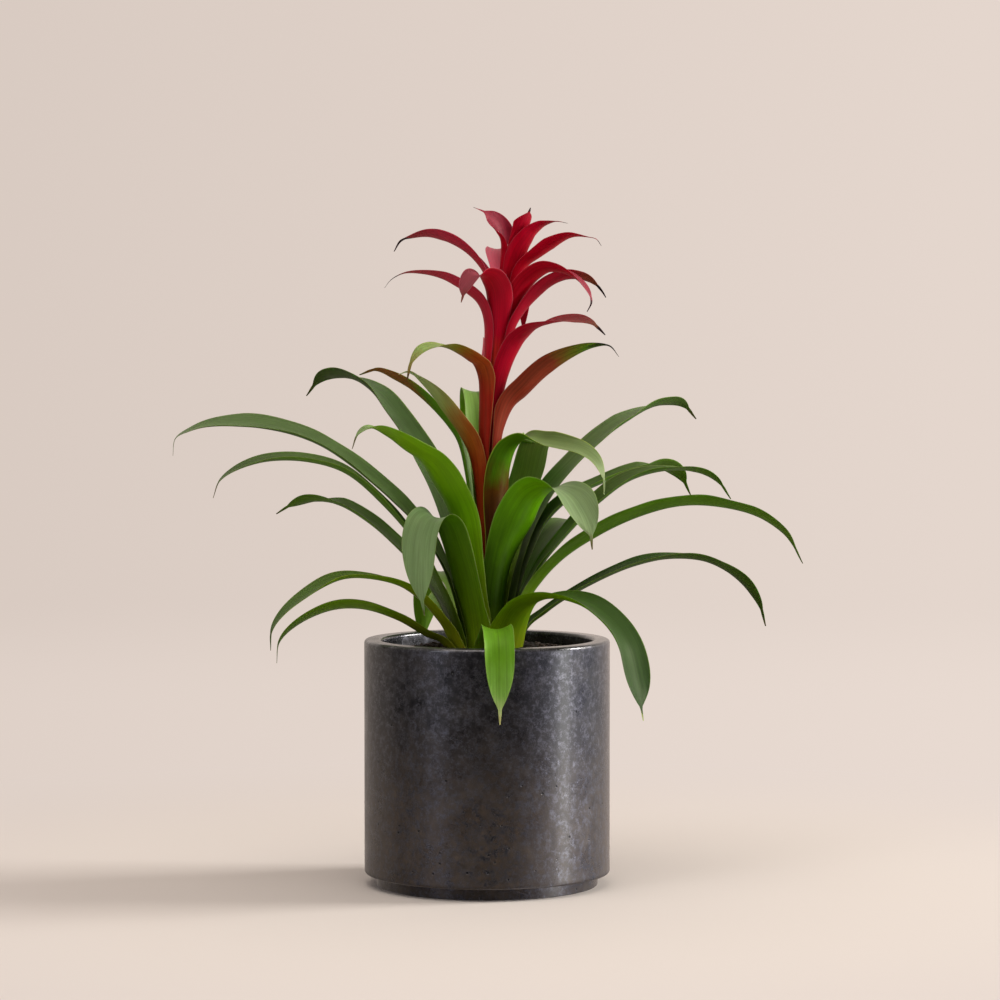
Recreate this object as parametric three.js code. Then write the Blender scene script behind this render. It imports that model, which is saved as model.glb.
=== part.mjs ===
// A potted bromeliad: a round cast pot with a recessed foot, its potting mix, and a guzmania
// with arching strap leaves round a stem that carries a head of red bracts.
// Millimetres, +Z up, origin on the ground under the middle of the pot.
// Headings are degrees round the plant: 0 is +X (right), 90 is +Y (back), 270 is the front.

import * as THREE from 'three';

// Pot
const POT_DIAMETER = 184;
const POT_HEIGHT = 184;
const FOOT_DIAMETER = 166;
const FOOT_HEIGHT = 9;
const WALL = 13;
const FLOOR_THICKNESS = 16;
const LIP_ROUND = 2.5;
const CORNER_ROUND = 2;
const CORNER_STEPS = 3;
const POT_SIDES = 48;

// Potting mix, with a plain hole that the plant stands in
const CLEARANCE = 0.3;
const MIX_EDGE_HEIGHT = 171;
const MIX_CROWN_HEIGHT = 178;
const HOLE_BOTTOM = 158;
const HOLE_BOTTOM_RADIUS = 28.5;
const HOLE_TOP_RADIUS = 36;
const MIX_LUMP = 1.3;
const MIX_LUMP_MARGIN = 1;
const LUMP_WAVE_ACROSS = 0.21;
const LUMP_WAVE_DEEP = 0.17;
const LUMP_WAVE_DIAGONAL = 0.43;
const MIX_RINGS = 4;
const MIX_SIDES = 40;

// Stem: a squat crown under the leaves, then the slim upright that carries the bracts
const CROWN_RADIUS = 28;
const CROWN_TOP = 163.5;
const CROWN_BEVEL = 2;
const CROWN_DRAFT = 1;
const STEM_RADIUS = 4;
const STEM_FLARE = 1.5;
const STEM_FLARE_HEIGHT = 8;
const STEM_TIP_RADIUS = 2.2;
const STEM_TIP_POWER = 3;
const STEM_TOP = 478;
const STEM_STEPS = 8;
const STEM_SIDES = 12;
const LEAN_START = 310;
const LEAN_END = 485;
const LEAN = 20;
const LEAN_POWER = 1.5;

// Leaves and bracts
const LEAF_BASE = CROWN_TOP + CLEARANCE;
const LEAF_THICKNESS = 0.8;
const LEAF_CUP = 40;
const LEAF_ALONG = 16;
const LEAF_ACROSS = 4;
const WRAPPED_ACROSS = 6;
const BRACT_THICKNESS = 0.7;
const BRACT_CUP = 45;
const BRACT_ALONG = 12;
const LEAF_CLASP = 70;
const BRACT_CLASP = 58;
const LEAF_TAPER_START = 0.58;
const LEAF_FULLNESS = 2.8;
const LEAF_SHEATH_SWELL = 0.15;
const LEAF_SHEATH_END = 0.22;
const LEAF_WAIST = 0.1;
const LEAF_WAIST_SHARES = [0.1, 0.25, 0.3, 0.5];
const BRACT_TAPER_START = 0.5;
const BRACT_FULLNESS = 2.3;
const BRACT_FOOT_WIDTH = 0.74;
const BRACT_SWELL_SHARES = [0.05, 0.45];
const TIP_WIDTH = 1.2;
const TAIL_LENGTH = 9;
const TAIL_WIDTH = 2.6;

// How far out from its sheath a blade starts to leave the round of the stem, and where it is a
// gutter of its own
const SHEATH_HELD = 2;
const SHEATH_OPEN = 20;

// Each leaf runs through points of [distance out, height] in the upright plane of its heading,
// with a third number where it swings round the stem from there, in degrees. The first point is
// its base, at the radius of its own sheath. The rolls are the blade's turns about its own
// length, in degrees, spread evenly from base to tip.
const LEAVES = [
	{
		name: 'leaf_01_inner_right', heading: 335, width: 30, colour: '#4a4f12', across: WRAPPED_ACROSS,
		clasp: 82,
		path: [
			[9.4, 0], [10.2, 230], [11.2, 268], [12.6, 298], [15, 315], [20.5, 329, 2], [30, 336.5, 4],
			[43, 334, 5], [59, 331, 6], [74, 326.5, 7], [84, 319, 8], [90, 306, 8], [90.5, 293, 8],
		],
		rolls: [0, 0, 0, 0, -25, -10, 22, 26, 20],
	},
	{
		name: 'leaf_02_inner_left', heading: 152, width: 26, colour: '#3d5a10', across: WRAPPED_ACROSS,
		path: [
			[10.8, 0], [11.4, 220], [13, 265], [17.2, 306], [25.5, 336], [41.8, 354.8], [61, 370],
			[79.5, 380], [95, 385], [110, 381],
		],
		rolls: [0, 0, 12, 32, 42],
	},
	{
		name: 'leaf_03_back', heading: 100, width: 27, colour: '#4d7a16', across: WRAPPED_ACROSS,
		path: [
			[8, 0], [8.4, 230], [9.6, 282], [12, 306], [18, 332], [32, 361], [48, 370], [64, 362], [78, 340],
			[86, 312],
		],
		rolls: [0, 0, 0],
	},
	{
		name: 'leaf_04_back_right', heading: 47, width: 32, colour: '#4a5a34', across: WRAPPED_ACROSS,
		taperStart: 0.45,
		path: [
			[12.2, 0], [14.2, 205], [18.5, 230], [28, 262], [39, 290], [47, 309], [52, 323], [56, 331],
			[64, 331.5, 7], [74, 326, 16], [82, 309, 22], [86, 287, 26],
		],
		rolls: [0, 0, 6, 12, 0],
	},
	{
		name: 'leaf_05_front_left', heading: 212, width: 35,
		colour: '#4c7a12', taperStart: 0.7, across: WRAPPED_ACROSS,
		path: [
			[13.6, 0], [15, 208], [19, 245], [25, 280], [36, 302], [50, 319], [66, 328.5], [83, 338.5],
			[99, 344], [111, 339], [116, 328],
		],
		rolls: [0, 0, 10, 15, 0, 0],
	},
	{
		name: 'leaf_06_front_right', heading: 318, width: 36, colour: '#4f8412', across: WRAPPED_ACROSS,
		taperStart: 0.72,
		path: [
			[10.8, 0], [11.8, 205], [15.2, 234], [23, 262], [33, 282], [44, 295], [57, 301], [71, 301],
			[84, 295], [94, 283], [101, 268], [103, 255],
		],
		rolls: [0, 0, -6, -25, -15, 20, 30],
	},
	{
		name: 'leaf_07_front', heading: 225, width: 34, colour: '#5c6f48', across: WRAPPED_ACROSS,
		path: [
			[16.4, 0], [18, 190], [22, 212], [28, 236], [36, 259.5], [44, 274.5], [53, 279.5], [62, 276],
			[68, 264], [70, 244], [69, 224], [65, 205],
		],
		rolls: [0, 0, 0, -20, -25],
	},
	{
		name: 'leaf_08_upper_left', heading: 140, width: 34,
		colour: '#4a5c40', taperStart: 0.68, across: WRAPPED_ACROSS,
		path: [
			[15, 0], [18, 205], [27, 245], [39.5, 282], [54.5, 308], [71.5, 331], [91, 352], [111, 370],
			[132, 379], [152, 380.8], [168, 378.5], [184, 364],
		],
		rolls: [0, 0, 0, 10, 30],
	},
	{
		name: 'leaf_09_upper_right', heading: 35, width: 28,
		colour: '#3c5426', taperStart: 0.7, across: LEAF_ACROSS,
		path: [
			[16.4, 0], [19.4, 205], [28, 245], [43, 276], [61, 299], [84, 319], [110, 337.5], [138, 351.8],
			[163, 359], [184.5, 358.5], [199, 346],
		],
		rolls: [0, 0, 0, 0, -45],
	},
	{
		name: 'leaf_10_right_back', heading: 22, width: 26,
		colour: '#47660f', taperStart: 0.78, across: LEAF_ACROSS,
		path: [
			[17.8, 0], [20.5, 200], [29.5, 238], [43.5, 269], [65, 289], [92, 301], [118, 310], [141, 313],
			[158, 306], [168, 289],
		],
		rolls: [0, 0, 0, 0, 0, -52],
	},
	{
		name: 'leaf_11_left_long', heading: 172, width: 28,
		colour: '#465a30', taperStart: 0.7, across: LEAF_ACROSS,
		path: [
			[17.8, 0], [21, 198], [32, 238], [49, 267.5], [81, 299.5], [127, 331.8], [171, 344.5],
			[208, 344.7], [227, 339.7], [238, 333], [240, 320],
		],
		rolls: [0, 0, -15, -9, -22, -12],
	},
	{
		name: 'leaf_12_right', heading: 5, width: 28, colour: '#4b7a10', across: LEAF_ACROSS,
		path: [
			[19.2, 0], [22, 198], [36, 234], [58, 263], [82, 287.5], [105, 304], [131, 311], [156, 310],
			[173, 303], [184, 288],
		],
		rolls: [0, 0, 6, 12, 0, -45],
	},
	{
		name: 'leaf_13_back_left', heading: 96, width: 25, colour: '#3f6414', across: LEAF_ACROSS,
		path: [
			[19.2, 0], [23, 200], [36, 238], [55, 264], [77, 275], [99, 270], [115, 254], [124, 238],
			[127, 224],
		],
		rolls: [0, 0, 0],
	},
	{
		name: 'leaf_14_right_long', heading: 350, width: 27, colour: '#486c12', across: LEAF_ACROSS,
		path: [
			[20.6, 0], [23, 190], [34, 221], [53, 244], [83, 265], [114, 279.5], [145, 287.5], [173, 287],
			[202, 279.5], [223, 266], [236, 243],
		],
		rolls: [0, -10, -18, -14, -18, -42],
	},
	{
		name: 'leaf_15_left', heading: 190, width: 27,
		colour: '#42600e', taperStart: 0.68, across: LEAF_ACROSS,
		path: [
			[20.6, 0], [25, 192], [35, 222], [52, 256], [77, 286.5], [106, 311], [136, 320], [165, 320],
			[187, 313], [200, 304], [205, 291],
		],
		rolls: [0, 0, -8, -7, -8, -10],
	},
	{
		name: 'leaf_16_back', heading: 52, width: 28, colour: '#3c5f12', across: LEAF_ACROSS,
		path: [[22, 0], [26, 190], [39, 220], [61, 250], [90, 268], [114, 268], [128, 261]],
		rolls: [0, 0, 0],
	},
	{
		name: 'leaf_17_left_middle', heading: 162, width: 24,
		colour: '#4a7412', taperStart: 0.7, across: LEAF_ACROSS,
		path: [
			[22, 0], [26, 185], [36, 210], [50, 232], [70, 253.5], [93, 272], [118, 285], [142, 286.5],
			[157, 282], [169, 275],
		],
		rolls: [0, 0, -5, -3, 48],
	},
	{
		name: 'leaf_18_back_lowest', heading: 134, width: 22, colour: '#42640f', across: LEAF_ACROSS,
		path: [
			[26.2, 0], [29.5, 174], [39, 188, -2], [58, 199, -8], [80, 208, -18], [104, 211, -30],
			[122, 200, -38],
		],
		rolls: [0, 0, 0],
	},
	{
		name: 'leaf_19_right_arch', heading: 8, width: 24, colour: '#3f5c14', across: LEAF_ACROSS,
		path: [
			[23.4, 0], [25, 178], [31, 193], [46, 206.5], [75, 224], [110, 239.5], [140, 245], [168, 242],
			[193, 228], [207, 211], [213, 191],
		],
		rolls: [0, 0, 6, -8, -45],
	},
	{
		name: 'leaf_20_left_low', heading: 206, width: 23, colour: '#45700f', across: LEAF_ACROSS,
		path: [
			[23.4, 0], [27, 178], [35, 195], [48, 211], [69, 226.5], [96, 234], [121, 234], [146, 223],
			[165, 209], [174, 197], [175, 182],
		],
		rolls: [0, 0, -5, 0],
	},
	{
		name: 'leaf_21_front_low', heading: 300, width: 34,
		colour: '#3f5f1c', taperStart: 0.78, across: LEAF_ACROSS,
		path: [
			[24.8, 0], [28, 176], [35, 196, 2], [47, 213, 7], [68, 220.5, 14], [94, 216.3, 20],
			[115, 203, 22], [130, 185, 22], [138, 158, 22], [143.5, 132, 22],
		],
		rolls: [0, 0, 0, 0],
	},
	{
		name: 'leaf_22_left_lowest', heading: 189, width: 29, colour: '#45720f', across: LEAF_ACROSS,
		path: [
			[24.8, 0], [28, 173], [35, 183], [48, 190], [67, 201], [93, 210], [118, 209.3], [142, 198.5],
			[156, 184], [158, 168],
		],
		rolls: [0, 10, 16],
	},
	{
		name: 'leaf_23_front_rim', heading: 275, width: 24, colour: '#4f8a12', across: LEAF_ACROSS,
		path: [
			[26.2, 0], [29, 173], [37, 184], [54, 194], [74, 199], [90, 197], [100, 189], [104, 174],
			[105, 153], [106, 131],
		],
		rolls: [0, 0, 0],
	},
	{
		name: 'leaf_24_back_low', heading: 113, width: 27, colour: '#3f660f', across: LEAF_ACROSS,
		path: [
			[24.8, 0], [28, 178], [39, 200], [58, 220], [84, 231], [108, 226], [120, 206], [128, 184],
			[131, 164],
		],
		rolls: [0, 0, 0],
	},
];

// Each bract stands on the stem in the same way. Its points are measured from the stem's own
// leaning middle, and the first is the height where it clasps the stem.
const BRACTS = [
	{
		name: 'bract_01_left_lowest', heading: 205, width: 18.5, colour: '#8a4a28',
		path: [
			[4.8, 214], [5.6, 250], [7.4, 288], [8.8, 306], [10.6, 319], [16, 334], [29.8, 351.2],
			[44.6, 367.3], [59, 378.3], [70, 384], [77.6, 382],
		],
		rolls: [0, 0, 20, 34, 40],
	},
	{
		name: 'bract_02_right_lowest', heading: 352, width: 26, colour: '#6e2a16',
		path: [
			[4.8, 222], [5.6, 262], [7.4, 308], [9, 330], [10.5, 343], [15, 361], [25, 374], [39.5, 389],
			[57, 398.8], [72, 403.5], [84, 403], [92, 395],
		],
		rolls: [0, 0, 0, 0, -10, -38, -46, -35, -15],
	},
	{
		name: 'bract_03_left_twisted', heading: 222, width: 23, colour: '#7a2a1a',
		path: [
			[4.8, 300], [6.6, 322], [7.8, 344], [9.3, 364], [12, 380], [16.5, 389], [23, 393.5], [35, 399],
			[48, 403], [63, 403.7], [75.5, 400], [83, 391], [85, 378],
		],
		rolls: [0, 0, 0, -4, 0, 0, -25, -22],
	},
	{
		name: 'bract_04_back_low', heading: 93, width: 22, colour: '#6a2018',
		path: [
			[4.8, 312], [7.4, 338], [9.2, 356], [14, 380], [26, 401], [44, 408], [62, 403], [75, 389],
			[80, 368],
		],
		rolls: [0, 0, 0],
	},
	{
		name: 'bract_05_right_twisted', heading: 318, width: 23, colour: '#9a0a20',
		path: [
			[4.8, 324], [6.8, 350], [8.4, 368], [10.2, 381], [14, 396.5], [20, 408.5], [32, 417],
			[50, 421.5], [72, 423], [89, 420], [97, 415.5], [103.5, 411],
		],
		rolls: [0, 0, -3, -6, 12, 28, 24],
	},
	{
		name: 'bract_06_left_thin', heading: 190, width: 19, colour: '#8c1424',
		path: [
			[4.8, 336], [7, 360], [8.4, 384], [9.5, 404], [11.4, 420], [15, 431], [20.6, 439], [28, 444.5],
			[37, 449.5], [48, 454.5], [63, 457.5], [78, 457], [87, 452], [91, 446],
		],
		rolls: [0, 0, 10, 20, 10],
	},
	{
		name: 'bract_07_back_middle', heading: 74, width: 17, colour: '#8c1424',
		path: [
			[4.8, 348], [7.2, 374], [9.2, 393], [14, 417], [25, 435], [40, 442], [55, 436], [64, 421],
			[67, 405],
		],
		rolls: [0, 0, 0],
	},
	{
		name: 'bract_08_front_folded', heading: 244, width: 27,
		colour: '#a00c24', taperStart: 0.74, tail: 4, clasp: 66,
		path: [
			[4.8, 372], [6.6, 392], [8.2, 410], [9.8, 424], [11.8, 436, -2], [15.5, 447, -8], [23, 456, -15],
			[32, 457.3, -20], [39, 448, -22], [42, 435, -22],
		],
		rolls: [0, 0, 0],
	},
	{
		name: 'bract_09_right_drooping', heading: 328, width: 24, colour: '#a00a22',
		path: [
			[4.8, 384], [7.4, 410], [9.4, 427], [13, 441], [20, 453], [31, 460], [45, 459.5], [58, 454.5],
			[67, 448.5], [74, 440.5], [76, 434.5], [73.5, 428],
		],
		rolls: [0, 0, -15, -18, -8, 8],
	},
	{
		name: 'bract_10_right', heading: 358, width: 23, colour: '#7c1220',
		path: [
			[4.8, 360], [7.4, 386], [9.2, 404], [12, 420], [20, 437], [31, 449.5], [43, 455], [55, 454.7],
			[62, 452.3], [68, 448], [73, 442.8], [75.8, 439],
		],
		rolls: [0, 0, -6, -27, -28, -42],
	},
	{
		name: 'bract_11_back_upper', heading: 120, width: 20, colour: '#a8535a',
		path: [
			[4.8, 404], [6.8, 424], [8.2, 436], [10.6, 450], [15, 461], [26, 472, -4], [40, 477, -14],
			[53, 473, -18], [63, 462, -20],
		],
		rolls: [0, 0, 0],
	},
	{
		name: 'bract_12_left_upper', heading: 160, width: 23, colour: '#980a20',
		path: [
			[4.8, 390], [7, 412], [9.2, 430], [12.6, 447], [22, 464], [35, 475], [51, 483], [68, 487],
			[82, 485], [90, 482], [94, 474],
		],
		rolls: [0, 0, 12, 28, 20],
	},
	{
		name: 'bract_13_right_upper', heading: 345, width: 22, colour: '#8a0e22',
		path: [
			[4.8, 420], [7.2, 441], [9.8, 455], [13.4, 463.5], [19, 469.5], [29, 478], [43.7, 484.8],
			[57.8, 483.5], [63.5, 482], [68.2, 477],
		],
		rolls: [0, 0, -10, -24, -6, 0],
	},
	{
		name: 'bract_14_top_right', heading: 350, width: 22, colour: '#7a0a1c', tail: 8, clasp: 66,
		path: [
			[4.8, 432, -44], [7.2, 452, -44], [9, 464, -44], [10.6, 474, -38], [12.6, 482, -22],
			[15.5, 488.5, -8], [21, 493.5], [30, 495.5], [39, 494],
		],
		rolls: [0, 0, -10, -20, 0],
	},
	{
		name: 'bract_15_top_left', heading: 190, width: 25, colour: '#a8303c', tail: 8, clasp: 64,
		path: [[4.8, 443], [6.2, 459], [7.4, 472], [9.8, 484], [15, 494], [23.5, 501.5], [34.5, 506]],
		rolls: [0, 0, 0, -40, -50, -10],
	},
	{
		name: 'bract_16_top_upright', heading: 290, width: 22, colour: '#9c1028', tail: 3, taperStart: 0.72,
		path: [[4.2, 452], [5, 466], [6.8, 478, 8], [9.6, 491, 22], [12, 505.5, 26]],
		rolls: [0, 0, 0],
	},
];

const FINISHES = {
	pot: new THREE.MeshStandardMaterial({ color: '#3a3735', roughness: 0.42, metalness: 0.0 }),
	mix: new THREE.MeshStandardMaterial({ color: '#2c211a', roughness: 0.95, metalness: 0.0 }),
	stem: new THREE.MeshStandardMaterial({ color: '#6b3a1c', roughness: 0.6, metalness: 0.0 }),
};

function bladeFinish(colour) {
	return new THREE.MeshStandardMaterial({ color: colour, roughness: 0.45, metalness: 0.0 });
}

// The stem's sideways lean to the right at a height.
function leanAt(height) {
	const share = Math.max(0, (height - LEAN_START) / (LEAN_END - LEAN_START));
	return LEAN * Math.pow(share, LEAN_POWER);
}

function pieceOfGroup(name, geometry, material) {
	const mesh = new THREE.Mesh(geometry, material);
	mesh.name = name;
	return mesh;
}

// Points of a quarter circle from one angle to another, in degrees.
function cornerPoints(centreX, centreY, radius, fromAngle, toAngle) {
	const points = [];
	for (let step = 0; step <= CORNER_STEPS; step += 1) {
		const angle = THREE.MathUtils.degToRad(THREE.MathUtils.lerp(fromAngle, toAngle, step / CORNER_STEPS));
		points.push(new THREE.Vector2(centreX + radius * Math.cos(angle), centreY + radius * Math.sin(angle)));
	}
	return points;
}

// A turned solid standing on +Z, from a profile of radius and height.
function turned(profile, sides) {
	return new THREE.LatheGeometry(profile, sides).rotateX(Math.PI / 2);
}

function potGeometry() {
	const outer = POT_DIAMETER / 2;
	const inner = outer - WALL;
	const profile = [
		new THREE.Vector2(0, 0),
		new THREE.Vector2(FOOT_DIAMETER / 2, 0),
		new THREE.Vector2(FOOT_DIAMETER / 2, FOOT_HEIGHT),
		...cornerPoints(outer - CORNER_ROUND, FOOT_HEIGHT + CORNER_ROUND, CORNER_ROUND, -90, 0),
		...cornerPoints(outer - LIP_ROUND, POT_HEIGHT - LIP_ROUND, LIP_ROUND, 0, 90),
		...cornerPoints(inner + LIP_ROUND, POT_HEIGHT - LIP_ROUND, LIP_ROUND, 90, 180),
		new THREE.Vector2(inner, FLOOR_THICKNESS),
		new THREE.Vector2(0, FLOOR_THICKNESS),
	];
	return turned(profile, POT_SIDES);
}

function mixGeometry() {
	const outer = POT_DIAMETER / 2 - WALL - CLEARANCE;
	const bottom = FLOOR_THICKNESS + CLEARANCE;
	const profile = [
		new THREE.Vector2(0, bottom),
		new THREE.Vector2(outer, bottom),
		new THREE.Vector2(outer, MIX_EDGE_HEIGHT),
	];
	for (let ring = 1; ring <= MIX_RINGS; ring += 1) {
		const share = ring / MIX_RINGS;
		const radius = THREE.MathUtils.lerp(outer, HOLE_TOP_RADIUS, share);
		const rise = Math.sin(share * Math.PI / 2);
		profile.push(new THREE.Vector2(radius, THREE.MathUtils.lerp(MIX_EDGE_HEIGHT, MIX_CROWN_HEIGHT, rise)));
	}
	profile.push(new THREE.Vector2(HOLE_BOTTOM_RADIUS, HOLE_BOTTOM));
	profile.push(new THREE.Vector2(0, HOLE_BOTTOM));
	const geometry = turned(profile, MIX_SIDES);

	const place = geometry.attributes.position;
	for (let index = 0; index < place.count; index += 1) {
		const x = place.getX(index);
		const y = place.getY(index);
		const z = place.getZ(index);
		const isInside = Math.hypot(x, y) > HOLE_TOP_RADIUS + MIX_LUMP_MARGIN;
		if (isInside && z > MIX_EDGE_HEIGHT + MIX_LUMP_MARGIN) {
			const broad = Math.sin(x * LUMP_WAVE_ACROSS) * Math.cos(y * LUMP_WAVE_DEEP);
			const fine = Math.sin((x + y) * LUMP_WAVE_DIAGONAL);
			place.setZ(index, z + MIX_LUMP * (broad + fine / 2));
		}
	}
	geometry.computeVertexNormals();
	return geometry;
}

// A closed solid through rings of equal point counts, its ends closed by flat fans.
function loftGeometry(rings) {
	const sides = rings[0].length;
	const positions = rings.flat().flatMap((point) => [point.x, point.y, point.z]);
	const indices = [];
	for (let ring = 0; ring + 1 < rings.length; ring += 1) {
		for (let side = 0; side < sides; side += 1) {
			const next = (side + 1) % sides;
			const a = ring * sides + side;
			const b = ring * sides + next;
			const c = (ring + 1) * sides + next;
			const d = (ring + 1) * sides + side;
			indices.push(a, b, c, a, c, d);
		}
	}
	const last = (rings.length - 1) * sides;
	for (let side = 1; side + 1 < sides; side += 1) {
		indices.push(0, side + 1, side);
		indices.push(last, last + side, last + side + 1);
	}
	const geometry = new THREE.BufferGeometry();
	geometry.setAttribute('position', new THREE.Float32BufferAttribute(positions, 3));
	geometry.setIndex(indices);
	geometry.computeVertexNormals();
	return geometry;
}

function stemGeometry() {
	const bottom = HOLE_BOTTOM + CLEARANCE;
	const stations = [
		[CROWN_RADIUS - CROWN_BEVEL, bottom],
		[CROWN_RADIUS, bottom + CROWN_BEVEL],
		[CROWN_RADIUS - CROWN_DRAFT, CROWN_TOP],
		[STEM_RADIUS + STEM_FLARE, CROWN_TOP],
		[STEM_RADIUS, CROWN_TOP + STEM_FLARE_HEIGHT],
		[STEM_RADIUS, LEAN_START],
	];
	for (let step = 1; step <= STEM_STEPS; step += 1) {
		const share = step / STEM_STEPS;
		const radius = THREE.MathUtils.lerp(STEM_RADIUS, STEM_TIP_RADIUS, Math.pow(share, STEM_TIP_POWER));
		stations.push([radius, THREE.MathUtils.lerp(LEAN_START, STEM_TOP, share)]);
	}
	const rings = stations.map(([radius, height]) => {
		const ring = [];
		for (let side = 0; side < STEM_SIDES; side += 1) {
			const angle = side / STEM_SIDES * Math.PI * 2;
			const x = leanAt(height) + radius * Math.cos(angle);
			ring.push(new THREE.Vector3(x, radius * Math.sin(angle), height));
		}
		return ring;
	});
	return loftGeometry(rings);
}

function smooth(value, low, high) {
	return THREE.MathUtils.smoothstep(value, low, high);
}

// Width of a strap leaf at a share of its length: a wide sheath, an even blade, a short taper.
function leafWidth(share, width, taperStart, tailShare) {
	const [narrowing, narrow, widening, wide] = LEAF_WAIST_SHARES;
	const sheath = 1 + LEAF_SHEATH_SWELL * (1 - smooth(share, 0, LEAF_SHEATH_END));
	const waist = 1 - LEAF_WAIST * smooth(share, narrowing, narrow) * (1 - smooth(share, widening, wide));
	return tapered(share, width * sheath * waist, taperStart, LEAF_FULLNESS, tailShare);
}

// Width of a bract: it swells from its clasping foot and tapers over its outer half.
function bractWidth(share, width, taperStart, tailShare) {
	const [swelling, swollen] = BRACT_SWELL_SHARES;
	const swell = THREE.MathUtils.lerp(BRACT_FOOT_WIDTH, 1, smooth(share, swelling, swollen));
	return tapered(share, width * swell, taperStart, BRACT_FULLNESS, tailShare);
}

function tapered(share, fullWidth, taperStart, fullness, tailShare) {
	if (share > tailShare) {
		return THREE.MathUtils.lerp(TAIL_WIDTH, TIP_WIDTH, (share - tailShare) / (1 - tailShare));
	}
	const along = Math.max(0, (share - taperStart) / (tailShare - taperStart));
	return Math.max(TAIL_WIDTH, fullWidth * (1 - Math.pow(along, fullness)));
}

// A number that runs evenly through a list of values as the share goes from 0 to 1.
function runThrough(values, share) {
	const place = share * (values.length - 1);
	const index = Math.min(values.length - 2, Math.floor(place));
	return THREE.MathUtils.lerp(values[index], values[index + 1], place - index);
}

function pathCurve(heading, path) {
	const points = path.map(([out, up, swing = 0]) => {
		const turn = THREE.MathUtils.degToRad(heading + swing);
		return new THREE.Vector3(out * Math.cos(turn), out * Math.sin(turn), up);
	});
	return new THREE.CatmullRomCurve3(points, false, 'centripetal');
}

// A thin channelled blade along a path. Close to the stem it is an arc round the stem's axis,
// and further out it opens into a gutter of its own cup angle, with the path in mid-depth.
function bladeGeometry(blade) {
	const { heading, path, width, rolls, thickness, cup, clasp, along, across } = blade;
	const { widthAt, taperStart, tail, leans } = blade;
	const curve = pathCurve(heading, path);
	const centres = [];
	const lengths = [0];
	for (let station = 0; station <= along; station += 1) {
		centres.push(curve.getPoint(station / along));
		if (station > 0) {
			lengths.push(lengths[station - 1] + centres[station].distanceTo(centres[station - 1]));
		}
	}
	const total = lengths[along];
	const tailShare = 1 - tail / total;
	const gutterBend = THREE.MathUtils.degToRad(cup) / (width / 2);
	const claspAngle = THREE.MathUtils.degToRad(clasp);

	const positions = [];
	for (let station = 0; station <= along; station += 1) {
		const share = lengths[station] / total;
		const centre = centres[station];
		const out = Math.hypot(centre.x, centre.y);
		const aside = new THREE.Vector3(-centre.y / out, centre.x / out, 0);
		const tangent = curve.getTangent(station / along);
		const side = aside.addScaledVector(tangent, -aside.dot(tangent)).normalize();
		const upper = new THREE.Vector3().crossVectors(tangent, side);
		const roll = THREE.MathUtils.degToRad(runThrough(rolls, share));
		const rolledSide = side.clone().multiplyScalar(Math.cos(roll)).addScaledVector(upper, Math.sin(roll));
		const rolledUpper = upper.clone().multiplyScalar(Math.cos(roll)).addScaledVector(side, -Math.sin(roll));

		const opened = smooth(out, path[0][0] + SHEATH_HELD, path[0][0] + SHEATH_OPEN);
		const bend = THREE.MathUtils.lerp(1 / out, Math.max(1 / out, gutterBend), opened);
		const radius = 1 / bend;
		const halfAngle = Math.min(claspAngle, widthAt(share, width, taperStart, tailShare) / 2 * bend);
		const sink = opened * radius * (1 - Math.cos(halfAngle)) / 2;
		for (let column = 0; column <= across; column += 1) {
			const angle = (column / across * 2 - 1) * halfAngle;
			for (const level of [-thickness / 2, thickness / 2]) {
				const point = centre.clone()
					.addScaledVector(rolledSide, (radius - level) * Math.sin(angle))
					.addScaledVector(rolledUpper, radius - sink - (radius - level) * Math.cos(angle));
				if (leans) {
					point.x += leanAt(point.z);
				}
				positions.push(point.x, point.y, point.z);
			}
		}
	}

	const indices = [];
	const at = (station, column, level) => (station * (across + 1) + column) * 2 + level;
	const quad = (a, b, c, d) => indices.push(a, b, c, a, c, d);
	for (let station = 0; station < along; station += 1) {
		const next = station + 1;
		for (let column = 0; column < across; column += 1) {
			const beside = column + 1;
			indices.push(at(station, column, 1), at(next, column, 1), at(next, beside, 1));
			indices.push(at(station, column, 1), at(next, beside, 1), at(station, beside, 1));
			indices.push(at(station, column, 0), at(next, beside, 0), at(next, column, 0));
			indices.push(at(station, column, 0), at(station, beside, 0), at(next, beside, 0));
		}
		quad(at(station, 0, 0), at(next, 0, 0), at(next, 0, 1), at(station, 0, 1));
		quad(at(station, across, 1), at(next, across, 1), at(next, across, 0), at(station, across, 0));
	}
	for (let column = 0; column < across; column += 1) {
		const beside = column + 1;
		quad(at(0, column, 0), at(0, column, 1), at(0, beside, 1), at(0, beside, 0));
		quad(at(along, column, 1), at(along, column, 0), at(along, beside, 0), at(along, beside, 1));
	}
	const geometry = new THREE.BufferGeometry();
	geometry.setAttribute('position', new THREE.Float32BufferAttribute(positions, 3));
	geometry.setIndex(indices);
	geometry.computeVertexNormals();
	return geometry;
}

function leafMesh(leaf) {
	const [[sheathRadius], ...rest] = leaf.path;
	const geometry = bladeGeometry({
		clasp: LEAF_CLASP,
		taperStart: LEAF_TAPER_START,
		...leaf,
		path: [[sheathRadius, LEAF_BASE + LEAF_THICKNESS], ...rest],
		thickness: LEAF_THICKNESS,
		cup: LEAF_CUP,
		along: LEAF_ALONG,
		widthAt: leafWidth,
		tail: TAIL_LENGTH,
		leans: false,
	});
	return pieceOfGroup(leaf.name, geometry, bladeFinish(leaf.colour));
}

function bractMesh(bract) {
	const geometry = bladeGeometry({
		tail: TAIL_LENGTH,
		clasp: BRACT_CLASP,
		taperStart: BRACT_TAPER_START,
		...bract,
		thickness: BRACT_THICKNESS,
		cup: BRACT_CUP,
		along: BRACT_ALONG,
		across: WRAPPED_ACROSS,
		widthAt: bractWidth,
		leans: true,
	});
	return pieceOfGroup(bract.name, geometry, bladeFinish(bract.colour));
}

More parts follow.
